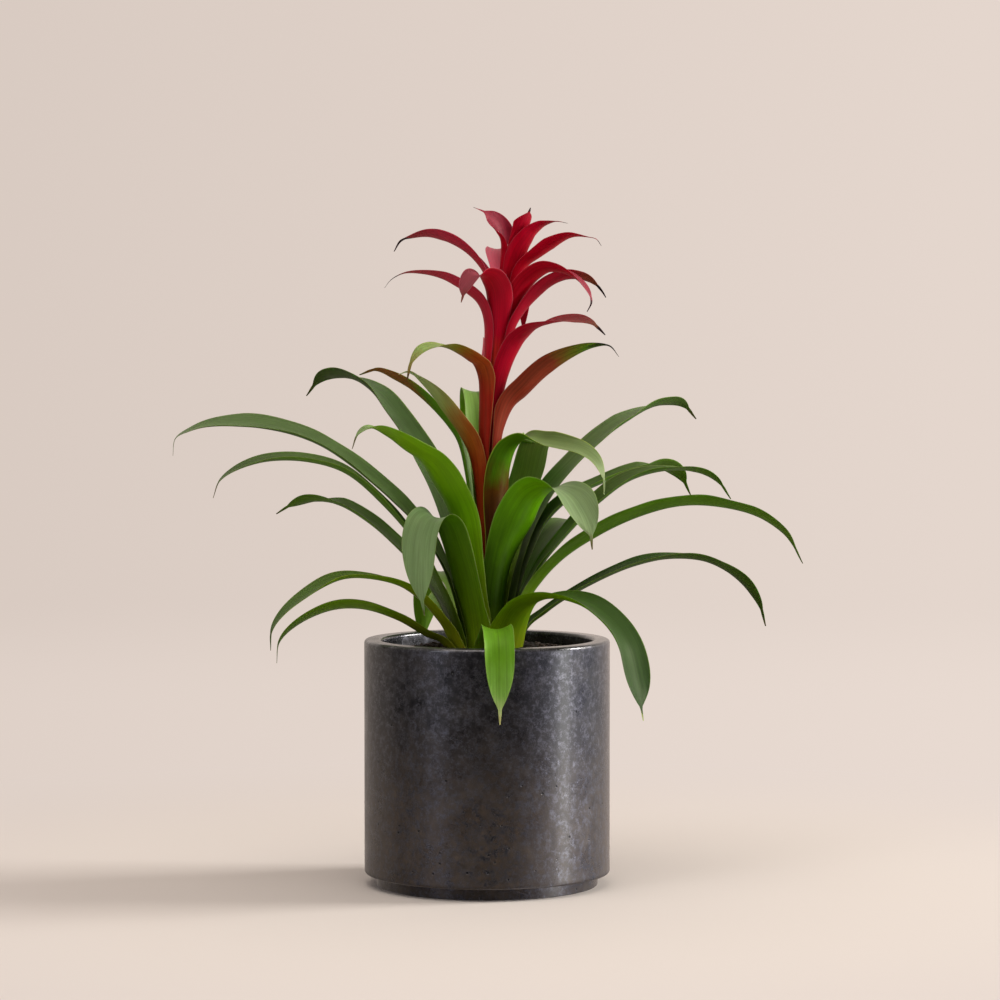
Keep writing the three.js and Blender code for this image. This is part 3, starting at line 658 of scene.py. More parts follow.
LEAVES: tuple[Blade, ...] = (
    Blade(
        "leaf_01_inner_right", 335, 30, Finish.LEAF_INNERMOST,
        path=(
            (9.4, 0), (10.2, 230), (11.2, 268), (12.6, 298), (15, 315), (20.5, 329, 2), (30, 336.5, 4),
            (43, 334, 5), (59, 331, 6), (74, 326.5, 7), (84, 319, 8), (90, 306, 8), (90.5, 293, 8),
        ),
        rolls=(0, 0, 0, 0, -25, -10, 22, 26, 20), clasp=82,
    ),
    Blade(
        "leaf_02_inner_left", 152, 26, Finish.LEAF_BROWNED,
        path=(
            (10.8, 0), (11.4, 220), (13, 265), (17.2, 306), (25.5, 336), (41.8, 354.8), (61, 370),
            (79.5, 380), (95, 385), (110, 381),
        ),
        rolls=(0, 0, 12, 32, 42),
    ),
    Blade(
        "leaf_03_back", 100, 27, Finish.LEAF_LIGHT,
        path=(
            (8, 0), (8.4, 230), (9.6, 282), (12, 306), (18, 332), (32, 361), (48, 370), (64, 362),
            (78, 340), (86, 312),
        ),
        rolls=(0, 0, 0),
    ),
    Blade(
        "leaf_04_back_right", 47, 32, Finish.LEAF_LIGHT,
        path=(
            (12.2, 0), (14.2, 205), (18.5, 230), (28, 262), (39, 290), (47, 309), (52, 323), (56, 331),
            (64, 331.5, 7), (74, 326, 16), (82, 309, 22), (86, 287, 26),
        ),
        rolls=(0, 0, 6, 12, 0), taper_start=0.45,
    ),
    Blade(
        "leaf_05_front_left", 212, 35, Finish.LEAF_LIGHT,
        path=(
            (13.6, 0), (15, 208), (19, 245), (25, 280), (36, 302), (50, 319), (66, 328.5), (83, 338.5),
            (99, 344), (111, 339), (116, 328),
        ),
        rolls=(0, 0, 10, 15, 0, 0), taper_start=0.7,
    ),
    Blade(
        "leaf_06_front_right", 318, 36, Finish.LEAF_BRIGHT,
        path=(
            (10.8, 0), (11.8, 205), (15.2, 234), (23, 262), (33, 282), (44, 295), (57, 301), (71, 301),
            (84, 295), (94, 283), (101, 268), (103, 255),
        ),
        rolls=(0, 0, -6, -25, -15, 20, 30), taper_start=0.72,
    ),
    Blade(
        "leaf_07_front", 225, 34, Finish.LEAF_FRONT,
        path=(
            (16.4, 0), (18, 190), (22, 212), (28, 236), (36, 259.5), (44, 274.5), (53, 279.5),
            (62, 276), (68, 264), (70, 244), (69, 224), (65, 205),
        ),
        rolls=(0, 0, 0, -20, -25),
    ),
    Blade(
        "leaf_08_upper_left", 140, 34, Finish.LEAF_DEEP,
        path=(
            (15, 0), (18, 205), (27, 245), (39.5, 282), (54.5, 308), (71.5, 331), (91, 352), (111, 370),
            (132, 379), (152, 380.8), (168, 378.5), (184, 364),
        ),
        rolls=(0, 0, 0, 10, 30), taper_start=0.68,
    ),
    Blade(
        "leaf_09_upper_right", 35, 28, Finish.LEAF_GREY,
        path=(
            (16.4, 0), (19.4, 205), (28, 245), (43, 276), (61, 299), (84, 319), (110, 337.5),
            (138, 351.8), (163, 359), (184.5, 358.5), (199, 346),
        ),
        rolls=(0, 0, 0, 0, -45), taper_start=0.7,
    ),
    Blade(
        "leaf_10_right_back", 22, 26, Finish.LEAF_MIDDLE,
        path=(
            (17.8, 0), (20.5, 200), (29.5, 238), (43.5, 269), (65, 289), (92, 301), (118, 310),
            (141, 313), (158, 306), (168, 289),
        ),
        rolls=(0, 0, 0, 0, 0, -52), taper_start=0.78,
    ),
    Blade(
        "leaf_11_left_long", 172, 28, Finish.LEAF_GREY,
        path=(
            (17.8, 0), (21, 198), (32, 238), (49, 267.5), (81, 299.5), (127, 331.8), (171, 344.5),
            (208, 344.7), (227, 339.7), (238, 333), (240, 320),
        ),
        rolls=(0, 0, -15, -9, -22, -12), taper_start=0.7,
    ),
    Blade(
        "leaf_12_right", 5, 28, Finish.LEAF_MIDDLE,
        path=(
            (19.2, 0), (22, 198), (36, 234), (58, 263), (82, 287.5), (105, 304), (131, 311), (156, 310),
            (173, 303), (184, 288),
        ),
        rolls=(0, 0, 6, 12, 0, -45),
    ),
    Blade(
        "leaf_13_back_left", 96, 25, Finish.LEAF_MIDDLE,
        path=(
            (19.2, 0), (23, 200), (36, 238), (55, 264), (77, 275), (99, 270), (115, 254), (124, 238),
            (127, 224),
        ),
        rolls=(0, 0, 0),
    ),
    Blade(
        "leaf_14_right_long", 350, 27, Finish.LEAF_MIDDLE,
        path=(
            (20.6, 0), (23, 190), (34, 221), (53, 244), (83, 265), (114, 279.5), (145, 287.5),
            (173, 287), (202, 279.5), (223, 266), (236, 243),
        ),
        rolls=(0, -10, -18, -14, -18, -42),
    ),
    Blade(
        "leaf_15_left", 190, 27, Finish.LEAF_MIDDLE,
        path=(
            (20.6, 0), (25, 192), (35, 222), (52, 256), (77, 286.5), (106, 311), (136, 320), (165, 320),
            (187, 313), (200, 304), (205, 291),
        ),
        rolls=(0, 0, -8, -7, -8, -10), taper_start=0.68,
    ),
    Blade(
        "leaf_16_back", 52, 28, Finish.LEAF_MIDDLE,
        path=(
            (22, 0), (26, 190), (39, 220), (61, 250), (90, 268), (114, 268), (128, 261),
        ),
        rolls=(0, 0, 0),
    ),
    Blade(
        "leaf_17_left_middle", 162, 24, Finish.LEAF_MIDDLE,
        path=(
            (22, 0), (26, 185), (36, 210), (50, 232), (70, 253.5), (93, 272), (118, 285), (142, 286.5),
            (157, 282), (169, 275),
        ),
        rolls=(0, 0, -5, -3, 48), taper_start=0.7,
    ),
    Blade(
        "leaf_18_back_lowest", 134, 22, Finish.LEAF_LOW,
        path=(
            (26.2, 0), (29.5, 174), (39, 188, -2), (58, 199, -8), (80, 208, -18), (104, 211, -30),
            (122, 200, -38),
        ),
        rolls=(0, 0, 0),
    ),
    Blade(
        "leaf_19_right_arch", 8, 24, Finish.LEAF_DEEP,
        path=(
            (23.4, 0), (25, 178), (31, 193), (46, 206.5), (75, 224), (110, 239.5), (140, 245),
            (168, 242), (193, 228), (207, 211), (213, 191),
        ),
        rolls=(0, 0, 6, -8, -45),
    ),
    Blade(
        "leaf_20_left_low", 206, 23, Finish.LEAF_LOW,
        path=(
            (23.4, 0), (27, 178), (35, 195), (48, 211), (69, 226.5), (96, 234), (121, 234), (146, 223),
            (165, 209), (174, 197), (175, 182),
        ),
        rolls=(0, 0, -5, 0),
    ),
    Blade(
        "leaf_21_front_low", 300, 34, Finish.LEAF_DROOPING,
        path=(
            (24.8, 0), (28, 176), (35, 196, 2), (47, 213, 7), (68, 220.5, 14), (94, 216.3, 20),
            (115, 203, 22), (130, 185, 22), (138, 158, 22), (143.5, 132, 22),
        ),
        rolls=(0, 0, 0, 0), taper_start=0.78,
    ),
    Blade(
        "leaf_22_left_lowest", 189, 29, Finish.LEAF_LOW,
        path=(
            (24.8, 0), (28, 173), (35, 183), (48, 190), (67, 201), (93, 210), (118, 209.3),
            (142, 198.5), (156, 184), (158, 168),
        ),
        rolls=(0, 10, 16),
    ),
    Blade(
        "leaf_23_front_rim", 275, 24, Finish.LEAF_PALE_TIP,
        path=(
            (26.2, 0), (29, 173), (37, 184), (54, 194), (74, 199), (90, 197), (100, 189), (104, 174),
            (105, 153), (106, 131),
        ),
        rolls=(0, 0, 0),
    ),
    Blade(
        "leaf_24_back_low", 113, 27, Finish.LEAF_LOW,
        path=(
            (24.8, 0), (28, 178), (39, 200), (58, 220), (84, 231), (108, 226), (120, 206), (128, 184),
            (131, 164),
        ),
        rolls=(0, 0, 0),
    ),
)

BRACTS: tuple[Blade, ...] = (
    Blade(
        "bract_01_left_lowest", 205, 18.5, Finish.BRACT_GREY_TIP,
        path=(
            (4.8, 214), (5.6, 250), (7.4, 288), (8.8, 306), (10.6, 319), (16, 334), (29.8, 351.2),
            (44.6, 367.3), (59, 378.3), (70, 384), (77.6, 382),
        ),
        rolls=(0, 0, 20, 34, 40),
    ),
    Blade(
        "bract_02_right_lowest", 352, 26, Finish.BRACT_BROWN,
        path=(
            (4.8, 222), (5.6, 262), (7.4, 308), (9, 330), (10.5, 343), (15, 361), (25, 374),
            (39.5, 389), (57, 398.8), (72, 403.5), (84, 403), (92, 395),
        ),
        rolls=(0, 0, 0, 0, -10, -38, -46, -35, -15),
    ),
    Blade(
        "bract_03_left_twisted", 222, 23, Finish.BRACT_OLIVE,
        path=(
            (4.8, 300), (6.6, 322), (7.8, 344), (9.3, 364), (12, 380), (16.5, 389), (23, 393.5),
            (35, 399), (48, 403), (63, 403.7), (75.5, 400), (83, 391), (85, 378),
        ),
        rolls=(0, 0, 0, -4, 0, 0, -25, -22),
    ),
    Blade(
        "bract_04_back_low", 93, 22, Finish.BRACT_DARK_TIP,
        path=(
            (4.8, 312), (7.4, 338), (9.2, 356), (14, 380), (26, 401), (44, 408), (62, 403), (75, 389),
            (80, 368),
        ),
        rolls=(0, 0, 0),
    ),
    Blade(
        "bract_05_right_twisted", 318, 23, Finish.BRACT_DARK_TIP,
        path=(
            (4.8, 324), (6.8, 350), (8.4, 368), (10.2, 381), (14, 396.5), (20, 408.5), (32, 417),
            (50, 421.5), (72, 423), (89, 420), (97, 415.5), (103.5, 411),
        ),
        rolls=(0, 0, -3, -6, 12, 28, 24),
    ),
    Blade(
        "bract_06_left_thin", 190, 19, Finish.BRACT_PINK,
        path=(
            (4.8, 336), (7, 360), (8.4, 384), (9.5, 404), (11.4, 420), (15, 431), (20.6, 439),
            (28, 444.5), (37, 449.5), (48, 454.5), (63, 457.5), (78, 457), (87, 452), (91, 446),
        ),
        rolls=(0, 0, 10, 20, 10),
    ),
    Blade(
        "bract_07_back_middle", 74, 17, Finish.BRACT_CRIMSON,
        path=(
            (4.8, 348), (7.2, 374), (9.2, 393), (14, 417), (25, 435), (40, 442), (55, 436), (64, 421),
            (67, 405),
        ),
        rolls=(0, 0, 0),
    ),
    Blade(
        "bract_08_front_folded", 244, 27, Finish.BRACT_ORANGE_BASE,
        path=(
            (4.8, 372), (6.6, 392), (8.2, 410), (9.8, 424), (11.8, 436, -2), (15.5, 447, -8),
            (23, 456, -15), (32, 457.3, -20), (39, 448, -22), (42, 435, -22),
        ),
        rolls=(0, 0, 0), clasp=66, taper_start=0.74, tail=4,
    ),
    Blade(
        "bract_09_right_drooping", 328, 24, Finish.BRACT_CRIMSON,
        path=(
            (4.8, 384), (7.4, 410), (9.4, 427), (13, 441), (20, 453), (31, 460), (45, 459.5),
            (58, 454.5), (67, 448.5), (74, 440.5), (76, 434.5), (73.5, 428),
        ),
        rolls=(0, 0, -15, -18, -8, 8),
    ),
    Blade(
        "bract_10_right", 358, 23, Finish.BRACT_DARK_TIP,
        path=(
            (4.8, 360), (7.4, 386), (9.2, 404), (12, 420), (20, 437), (31, 449.5), (43, 455),
            (55, 454.7), (62, 452.3), (68, 448), (73, 442.8), (75.8, 439),
        ),
        rolls=(0, 0, -6, -27, -28, -42),
    ),
    Blade(
        "bract_11_back_upper", 120, 20, Finish.BRACT_PINK,
        path=(
            (4.8, 404), (6.8, 424), (8.2, 436), (10.6, 450), (15, 461), (26, 472, -4), (40, 477, -14),
            (53, 473, -18), (63, 462, -20),
        ),
        rolls=(0, 0, 0),
    ),
    Blade(
        "bract_12_left_upper", 160, 23, Finish.BRACT_PINK,
        path=(
            (4.8, 390), (7, 412), (9.2, 430), (12.6, 447), (22, 464), (35, 475), (51, 483), (68, 487),
            (82, 485), (90, 482), (94, 474),
        ),
        rolls=(0, 0, 12, 28, 20),
    ),
    Blade(
        "bract_13_right_upper", 345, 22, Finish.BRACT_CRIMSON,
        path=(
            (4.8, 420), (7.2, 441), (9.8, 455), (13.4, 463.5), (19, 469.5), (29, 478), (43.7, 484.8),
            (57.8, 483.5), (63.5, 482), (68.2, 477),
        ),
        rolls=(0, 0, -10, -24, -6, 0),
    ),
    Blade(
        "bract_14_top_right", 350, 22, Finish.BRACT_CRIMSON,
        path=(
            (4.8, 432, -44), (7.2, 452, -44), (9, 464, -44), (10.6, 474, -38), (12.6, 482, -22),
            (15.5, 488.5, -8), (21, 493.5), (30, 495.5), (39, 494),
        ),
        rolls=(0, 0, -10, -20, 0), clasp=66, tail=8,
    ),
    Blade(
        "bract_15_top_left", 190, 25, Finish.BRACT_CRIMSON,
        path=(
            (4.8, 443), (6.2, 459), (7.4, 472), (9.8, 484), (15, 494), (23.5, 501.5), (34.5, 506),
        ),
        rolls=(0, 0, 0, -40, -50, -10), clasp=64, tail=8,
    ),
    Blade(
        "bract_16_top_upright", 290, 22, Finish.BRACT_CRIMSON,
        path=(
            (4.2, 452), (5, 466), (6.8, 478, 8), (9.6, 491, 22), (12, 505.5, 26),
        ),
        rolls=(0, 0, 0), taper_start=0.72, tail=3,
    ),
)


@dataclass(frozen=True)
class Habit:
    """How all blades of one kind grow. Lengths are in millimetres and angles in degrees."""

    slot: Slot
    thickness: float
    cup: float
    clasp: float
    taper_start: float
    fullness: float
    edge_wave: float
    stations: int
    leans: bool
    columns: int = 18
    tail: float = 9.0
    tail_width: float = 2.6
    tip_width: float = 0.9
    sheath_held: float = 2.0
    sheath_open: float = 20.0
    bract_foot: float = 0.74
    bract_widening: tuple[float, float] = (0.05, 0.45)
    sheath_swell: float = 0.15
    sheath_narrowing: tuple[float, float] = (0.0, 0.22)
    waist: float = 0.1
    waist_narrowing: tuple[float, float] = (0.1, 0.25)
    waist_widening: tuple[float, float] = (0.3, 0.5)

    def full_width(self, share: np.ndarray) -> np.ndarray:
        """How a blade swells and narrows before its taper.

        Args:
            share: places from 0 at the base to 1 at the tip.

        Returns:
            A factor on the blade's width at each place.
        """
        if self.slot is Slot.BRACT:
            return self.bract_foot + (1 - self.bract_foot) * smooth_step(share, *self.bract_widening)
        sheath = 1 + self.sheath_swell * (1 - smooth_step(share, *self.sheath_narrowing))
        narrowed = smooth_step(share, *self.waist_narrowing)
        return sheath * (1 - self.waist * narrowed * (1 - smooth_step(share, *self.waist_widening)))

    def width_at(
        self, share: np.ndarray, width: float, taper_start: float, tail_share: float
    ) -> np.ndarray:
        """A blade's width along its length.

        Args:
            share: places from 0 at the base to 1 at the tip.
            width: the blade's named width.
            taper_start: where the taper starts.
            tail_share: where the thin tail starts.

        Returns:
            The width at each place.
        """
        along = np.clip((share - taper_start) / (tail_share - taper_start), 0.0, 1.0)
        blade = np.maximum(self.tail_width, width * self.full_width(share) * (1 - along**self.fullness))
        tail = np.clip((share - tail_share) / (1 - tail_share), 0.0, 1.0)
        thread = self.tail_width + (self.tip_width - self.tail_width) * tail
        return np.where(share > tail_share, thread, blade)


LEAF_HABIT = Habit(
    slot=Slot.LEAF, thickness=0.8, cup=40, clasp=70, taper_start=0.58, fullness=2.8, edge_wave=0.7,
    stations=112, leans=False,
)
BRACT_HABIT = Habit(
    slot=Slot.BRACT, thickness=0.7, cup=45, clasp=58, taper_start=0.5, fullness=2.3, edge_wave=0.45,
    stations=96, leans=True,
)

LEAF_BASE_HEIGHT = 163.8
LEAN_START, LEAN_END, LEAN, LEAN_POWER = 310.0, 485.0, 20.0, 1.5


def lean_at(height: np.ndarray) -> np.ndarray:
    """The flower stem's sideways lean to the right.

    Args:
        height: heights over the ground, in millimetres.

    Returns:
        The shift at each height, in millimetres.
    """
    share = np.maximum(0.0, (height - LEAN_START) / (LEAN_END - LEAN_START))
    return LEAN * share**LEAN_POWER


class SmoothPath:
    """A centripetal Catmull-Rom curve through the points of a blade's path."""

    def __init__(self, points: np.ndarray) -> None:
        """Keeps the points, with one more past each end.

        Args:
            points: one row of x, y, z for each point.
        """
        before = 2 * points[0] - points[1]
        after = 2 * points[-1] - points[-2]
        self.points = np.vstack([before, points, after])
        self.spans = len(points) - 1

    def at(self, shares: np.ndarray) -> np.ndarray:
        """Reads the curve.

        Args:
            shares: places from 0 to 1, with as much of it for each span of the path.

        Returns:
            One row of x, y, z for each place.
        """
        place = np.clip(shares, 0.0, 1.0) * self.spans
        index = np.minimum(place.astype(int), self.spans - 1)
        step = (place - index)[:, None]
        p0, p1, p2, p3 = (self.points[index + offset] for offset in range(4))
        d0, d1, d2 = (
            np.maximum(np.linalg.norm(b - a, axis=1), 1e-8)[:, None] ** 0.5
            for a, b in ((p0, p1), (p1, p2), (p2, p3))
        )
        leave = ((p1 - p0) / d0 - (p2 - p0) / (d0 + d1) + (p2 - p1) / d1) * d1
        arrive = ((p2 - p1) / d1 - (p3 - p1) / (d1 + d2) + (p3 - p2) / d2) * d1
        square = -3 * p1 + 3 * p2 - 2 * leave - arrive
        cube = 2 * p1 - 2 * p2 + leave + arrive
        return p1 + leave * step + square * step**2 + cube * step**3

    def direction(self, shares: np.ndarray) -> np.ndarray:
        """The curve's direction.

        Args:
            shares: places from 0 to 1.

        Returns:
            A unit vector for each place.
        """
        gap = 0.0001
        run = self.at(shares + gap) - self.at(shares - gap)
        return run / np.linalg.norm(run, axis=1, keepdims=True)


@dataclass
class BladeShape:
    """Builds one leaf or bract as a closed thin blade with waved edges and a thread-thin tip.

    The seed sets its waves, and its own stretch of the skin's patterns. Lengths are in millimetres.
    """

    blade: Blade
    habit: Habit
    seed: int
    margin_thickness: float = 0.3
    lightness: float = 0.75
    margin_power: float = 2.5
    tip_lightness: float = 0.5
    tip_lead: float = 0.03
    edge_crowding: float = 0.9
    pleats: float = 3.5
    pleat_height: float = 0.1
    groove_width: float = 0.1
    groove_depth: float = 0.22
    wave_lengths: tuple[float, float] = (46.0, 52.0)
    wave_power: int = 3
    calm_width: float = 3.0
    lively_width: float = 14.0
    pattern_step: float = 7.3

    def path(self) -> SmoothPath:
        """Places the path's points round the stem.

        Returns:
            The path as a curve.
        """
        rows = []
        for number, (out, up, *swings) in enumerate(self.blade.path):
            swing = swings[0] if swings else 0.0
            if number == 0 and not self.habit.leans:
                up = LEAF_BASE_HEIGHT + self.habit.thickness
            turn = math.radians(self.blade.heading + swing)
            rows.append((out * math.cos(turn), out * math.sin(turn), up))
        return SmoothPath(np.array(rows))

    def build(self, material: Material) -> Object:
        """Makes the blade's mesh.

        Args:
            material: the blade's skin.

        Returns:
            The blade's object, with how far along and across it each point is.
        """
        blade, habit = self.blade, self.habit
        path = self.path()
        times = np.linspace(0.0, 1.0, habit.stations + 1)
        centres = path.at(times)
        steps = np.linalg.norm(np.diff(centres, axis=0), axis=1)
        lengths = np.concatenate([[0.0], np.cumsum(steps)])
        share = lengths / lengths[-1]
        tail_share = 1 - (blade.tail or habit.tail) / lengths[-1]
        width = habit.width_at(share, blade.width, blade.taper_start or habit.taper_start, tail_share)
        outs = np.hypot(centres[:, 0], centres[:, 1])
        side, upper = self._rolled(centres, outs, path.direction(times), share)
        opened, radius, half_angle = self._gutter(outs, width)
        sink = opened * radius * (1 - np.cos(half_angle)) / 2

        # Columns stand closer towards the margins, where the blade thins.
        last_angle = self.edge_crowding * math.pi / 2
        across = np.sin(np.linspace(-1, 1, habit.columns + 1) * last_angle) / math.sin(last_angle)
        relief = self._relief(across, lengths, opened, width)
        tip_fade = 1 - self.tip_lightness * smooth_step(share, tail_share - self.tip_lead, 1.0)
        half = self._half_thickness(across)[None, :] * tip_fade[:, None]

        rings: list[np.ndarray] = []
        readings: dict[str, list[np.ndarray]] = {"along": [], "across": [], "inner": [], "spread": []}
        for face, order in ((1.0, slice(None)), (-1.0, slice(None, None, -1))):
            level = face * half[:, order] + relief[:, order]
            angle = across[order][None, :] * half_angle[:, None]
            reach = radius[:, None] - level
            rings.append(
                centres[:, None, :]
                + side[:, None, :] * (reach * np.sin(angle))[:, :, None]
                + upper[:, None, :] * (radius[:, None] - sink[:, None] - reach * np.cos(angle))[:, :, None]
            )
            along, far = (np.broadcast_to(reading[:, None], level.shape) for reading in (share, lengths))
            offset = np.full_like(level, self.pattern_step * self.seed)
            readings["along"].append(along)
            readings["across"].append(np.broadcast_to(across[order], level.shape))
            readings["inner"].append(np.full_like(level, max(face, 0.0)))
            readings["spread"].append(np.stack([angle * radius[:, None], far, offset], axis=2))

        points = np.concatenate(rings, axis=1)
        if habit.leans:
            points[:, :, 0] += lean_at(points[:, :, 2])
        piece = mesh_object(blade.name + "_blade", points, self._faces(), material)
        for name, values in readings.items():
            add_readings(piece, name, np.concatenate(values, axis=1))
        return piece

    def _rolled(
        self, centres: np.ndarray, outs: np.ndarray, tangent: np.ndarray, share: np.ndarray
    ) -> tuple[np.ndarray, np.ndarray]:
        """Turns the blade's cross-section about its length.

        Args:
            centres: the middle of each station.
            outs: how far each station is from the upright axis.
            tangent: which way the blade runs at each station.
            share: places from 0 at the base to 1 at the tip.

        Returns:
            The direction of the blade's width, and the direction that its inner face looks in.
        """
        aside = np.stack([-centres[:, 1] / outs, centres[:, 0] / outs, np.zeros_like(outs)], axis=1)
        side = aside - tangent * np.sum(aside * tangent, axis=1, keepdims=True)
        side /= np.linalg.norm(side, axis=1, keepdims=True)
        upper = np.cross(tangent, side)
        rolls = self.blade.rolls
        roll = np.radians(np.interp(share, np.linspace(0, 1, len(rolls)), rolls))[:, None]
        return side * np.cos(roll) + upper * np.sin(roll), upper * np.cos(roll) - side * np.sin(roll)

    def _gutter(self, outs: np.ndarray, width: np.ndarray) -> tuple[np.ndarray, np.ndarray, np.ndarray]:
        """How the blade curves across: it clasps the stem at its base and opens to a shallow gutter.

        Args:
            outs: how far each station is from the upright axis.
            width: the blade's width at each station.

        Returns:
            How far the blade has opened, the radius it curves on, and the angle to its margin.
        """
        blade, habit = self.blade, self.habit
        sheath = blade.path[0][0]
        opened = smooth_step(outs, sheath + habit.sheath_held, sheath + habit.sheath_open)
        gutter_bend = math.radians(habit.cup) / (blade.width / 2)
        bend = 1 / outs + (np.maximum(1 / outs, gutter_bend) - 1 / outs) * opened
        half_angle = np.minimum(math.radians(blade.clasp or habit.clasp), width / 2 * bend)
        return opened, 1 / bend, half_angle

    def _faces(self) -> list[tuple[int, ...]]:
        """Numbers the blade's faces, with both ends closed.

        Returns:
            The point numbers of each face.
        """
        columns = 2 * (self.habit.columns + 1)
        faces = stitch_grid(self.habit.stations + 1, columns, closed=True)
        last = self.habit.stations * columns
        for near in range(self.habit.columns):
            far = columns - 1 - near
            faces.append((near, near + 1, far - 1, far))
            faces.append((last + near + 1, last + near, last + far, last + far - 1))
        return faces

    def _half_thickness(self, across: np.ndarray) -> np.ndarray:
        """Half the blade's thickness across it, thick in the middle and thin at the margins.

        Args:
            across: places from -1 at one margin to 1 at the other.

        Returns:
            Half the thickness at each place.
        """
        middle = self.habit.thickness * self.lightness / 2
        edge = middle * self.margin_thickness
        return edge + (middle - edge) * (1 - np.abs(across) ** self.margin_power)

    def _relief(
        self, across: np.ndarray, lengths: np.ndarray, opened: np.ndarray, width: np.ndarray
    ) -> np.ndarray:
        """Pleats, a middle groove and waved margins, which die out towards the sheath and the tip.

        Args:
            across: places from -1 to 1 across the blade.
            lengths: how far each station is from the base.
            opened: 0 where the blade is still held round the stem, 1 where it is free.
            width: the blade's width at each station.

        Returns:
            Heights towards the inner face, by station and column.
        """
        rng = np.random.default_rng(self.seed)
        free = opened * smooth_step(width, self.calm_width, self.lively_width)
        pleats = self.pleat_height * np.cos(across * self.pleats * math.pi)
        groove = -self.groove_depth * np.exp(-((across / self.groove_width) ** 2))
        left, right = (
            ripple(lengths, wave_length, rng)[:, None] * np.clip(outward, 0, 1)[None, :] ** self.wave_power
            for wave_length, outward in zip(self.wave_lengths, (-across, across))
        )
        waves = self.habit.edge_wave * (left + right)
        return free[:, None] * ((pleats + groove)[None, :] + waves)


def add_readings(piece: Object, name: str, readings: np.ndarray) -> None:
    """Stores a number or a vector for each point of a mesh.

    Args:
        piece: the mesh object.
        name: the attribute's name.
        readings: the points' numbers in rows and columns, or their vectors with a third axis.
    """
    kind, key = ("FLOAT", "value") if readings.ndim == 2 else ("FLOAT_VECTOR", "vector")
    attribute = piece.data.attributes.new(name, kind, "POINT")
    attribute.data.foreach_set(key, readings.astype(np.float32).ravel())


@dataclass
class Foliage:
    """All the leaves, or all the bracts."""

    blades: tuple[Blade, ...]
    habit: Habit
    first_seed: int
    skins: dict[Finish, Material] = field(default_factory=dict)

    def build(self) -> list[Object]:
        """Builds and dresses each blade and puts it in its place in the part.

        Returns:
            The blades' objects.
        """
        pieces = []
        for number, blade in enumerate(self.blades):
            if blade.finish not in self.skins:
                self.skins[blade.finish] = blade.finish.value.material()
            shape = BladeShape(blade, self.habit, self.first_seed + number)
            piece = shape.build(self.skins[blade.finish])
            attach(piece, ROOT_BODY)
            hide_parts(blade.name)
            pieces.append(piece)
        return pieces


def arc_points(
    centre: tuple[float, float], radius: float, start: float, end: float, steps: int
) -> list[tuple[float, float]]:
    """Points of an arc in a turned profile.

    Args:
        centre: the arc's centre, as radius and height.
        radius: the arc's own radius.
        start: the first angle, in degrees.
        end: the last angle.
        steps: how many steps the arc has.

    Returns:
        Radius and height of each point.
    """
    points = []
    for step in range(steps + 1):
        angle = math.radians(start + (end - start) * step / steps)
        points.append((centre[0] + radius * math.cos(angle), centre[1] + radius * math.sin(angle)))
    return points


def turned_points(profile: Sequence[tuple[float, float]], sides: int) -> np.ndarray:
    """Turns a profile round the upright axis.

    Args:
        profile: radius and height of each ring.
        sides: how many points each ring has.

    Returns:
        Points by ring and side, one row of x, y, z each.
    """
    rings = np.array(profile)
    angles = np.linspace(0, 2 * math.pi, sides, endpoint=False)
    x = rings[:, :1] * np.cos(angles)[None, :]
    y = rings[:, :1] * np.sin(angles)[None, :]
    z = np.repeat(rings[:, 1:], sides, axis=1)
    return np.stack([x, y, z], axis=2)


def turned_faces(rings: int, sides: int) -> list[tuple[int, ...]]:
    """Numbers the faces of a turned solid, with a flat cap on its first and last ring.

    Args:
        rings: how many rings it has.
        sides: how many points each ring has.

    Returns:
        The point numbers of each face.
    """
    last = (rings - 1) * sides
    caps = [tuple(reversed(range(sides))), tuple(range(last, last + sides))]
    return stitch_grid(rings, sides, closed=True) + caps


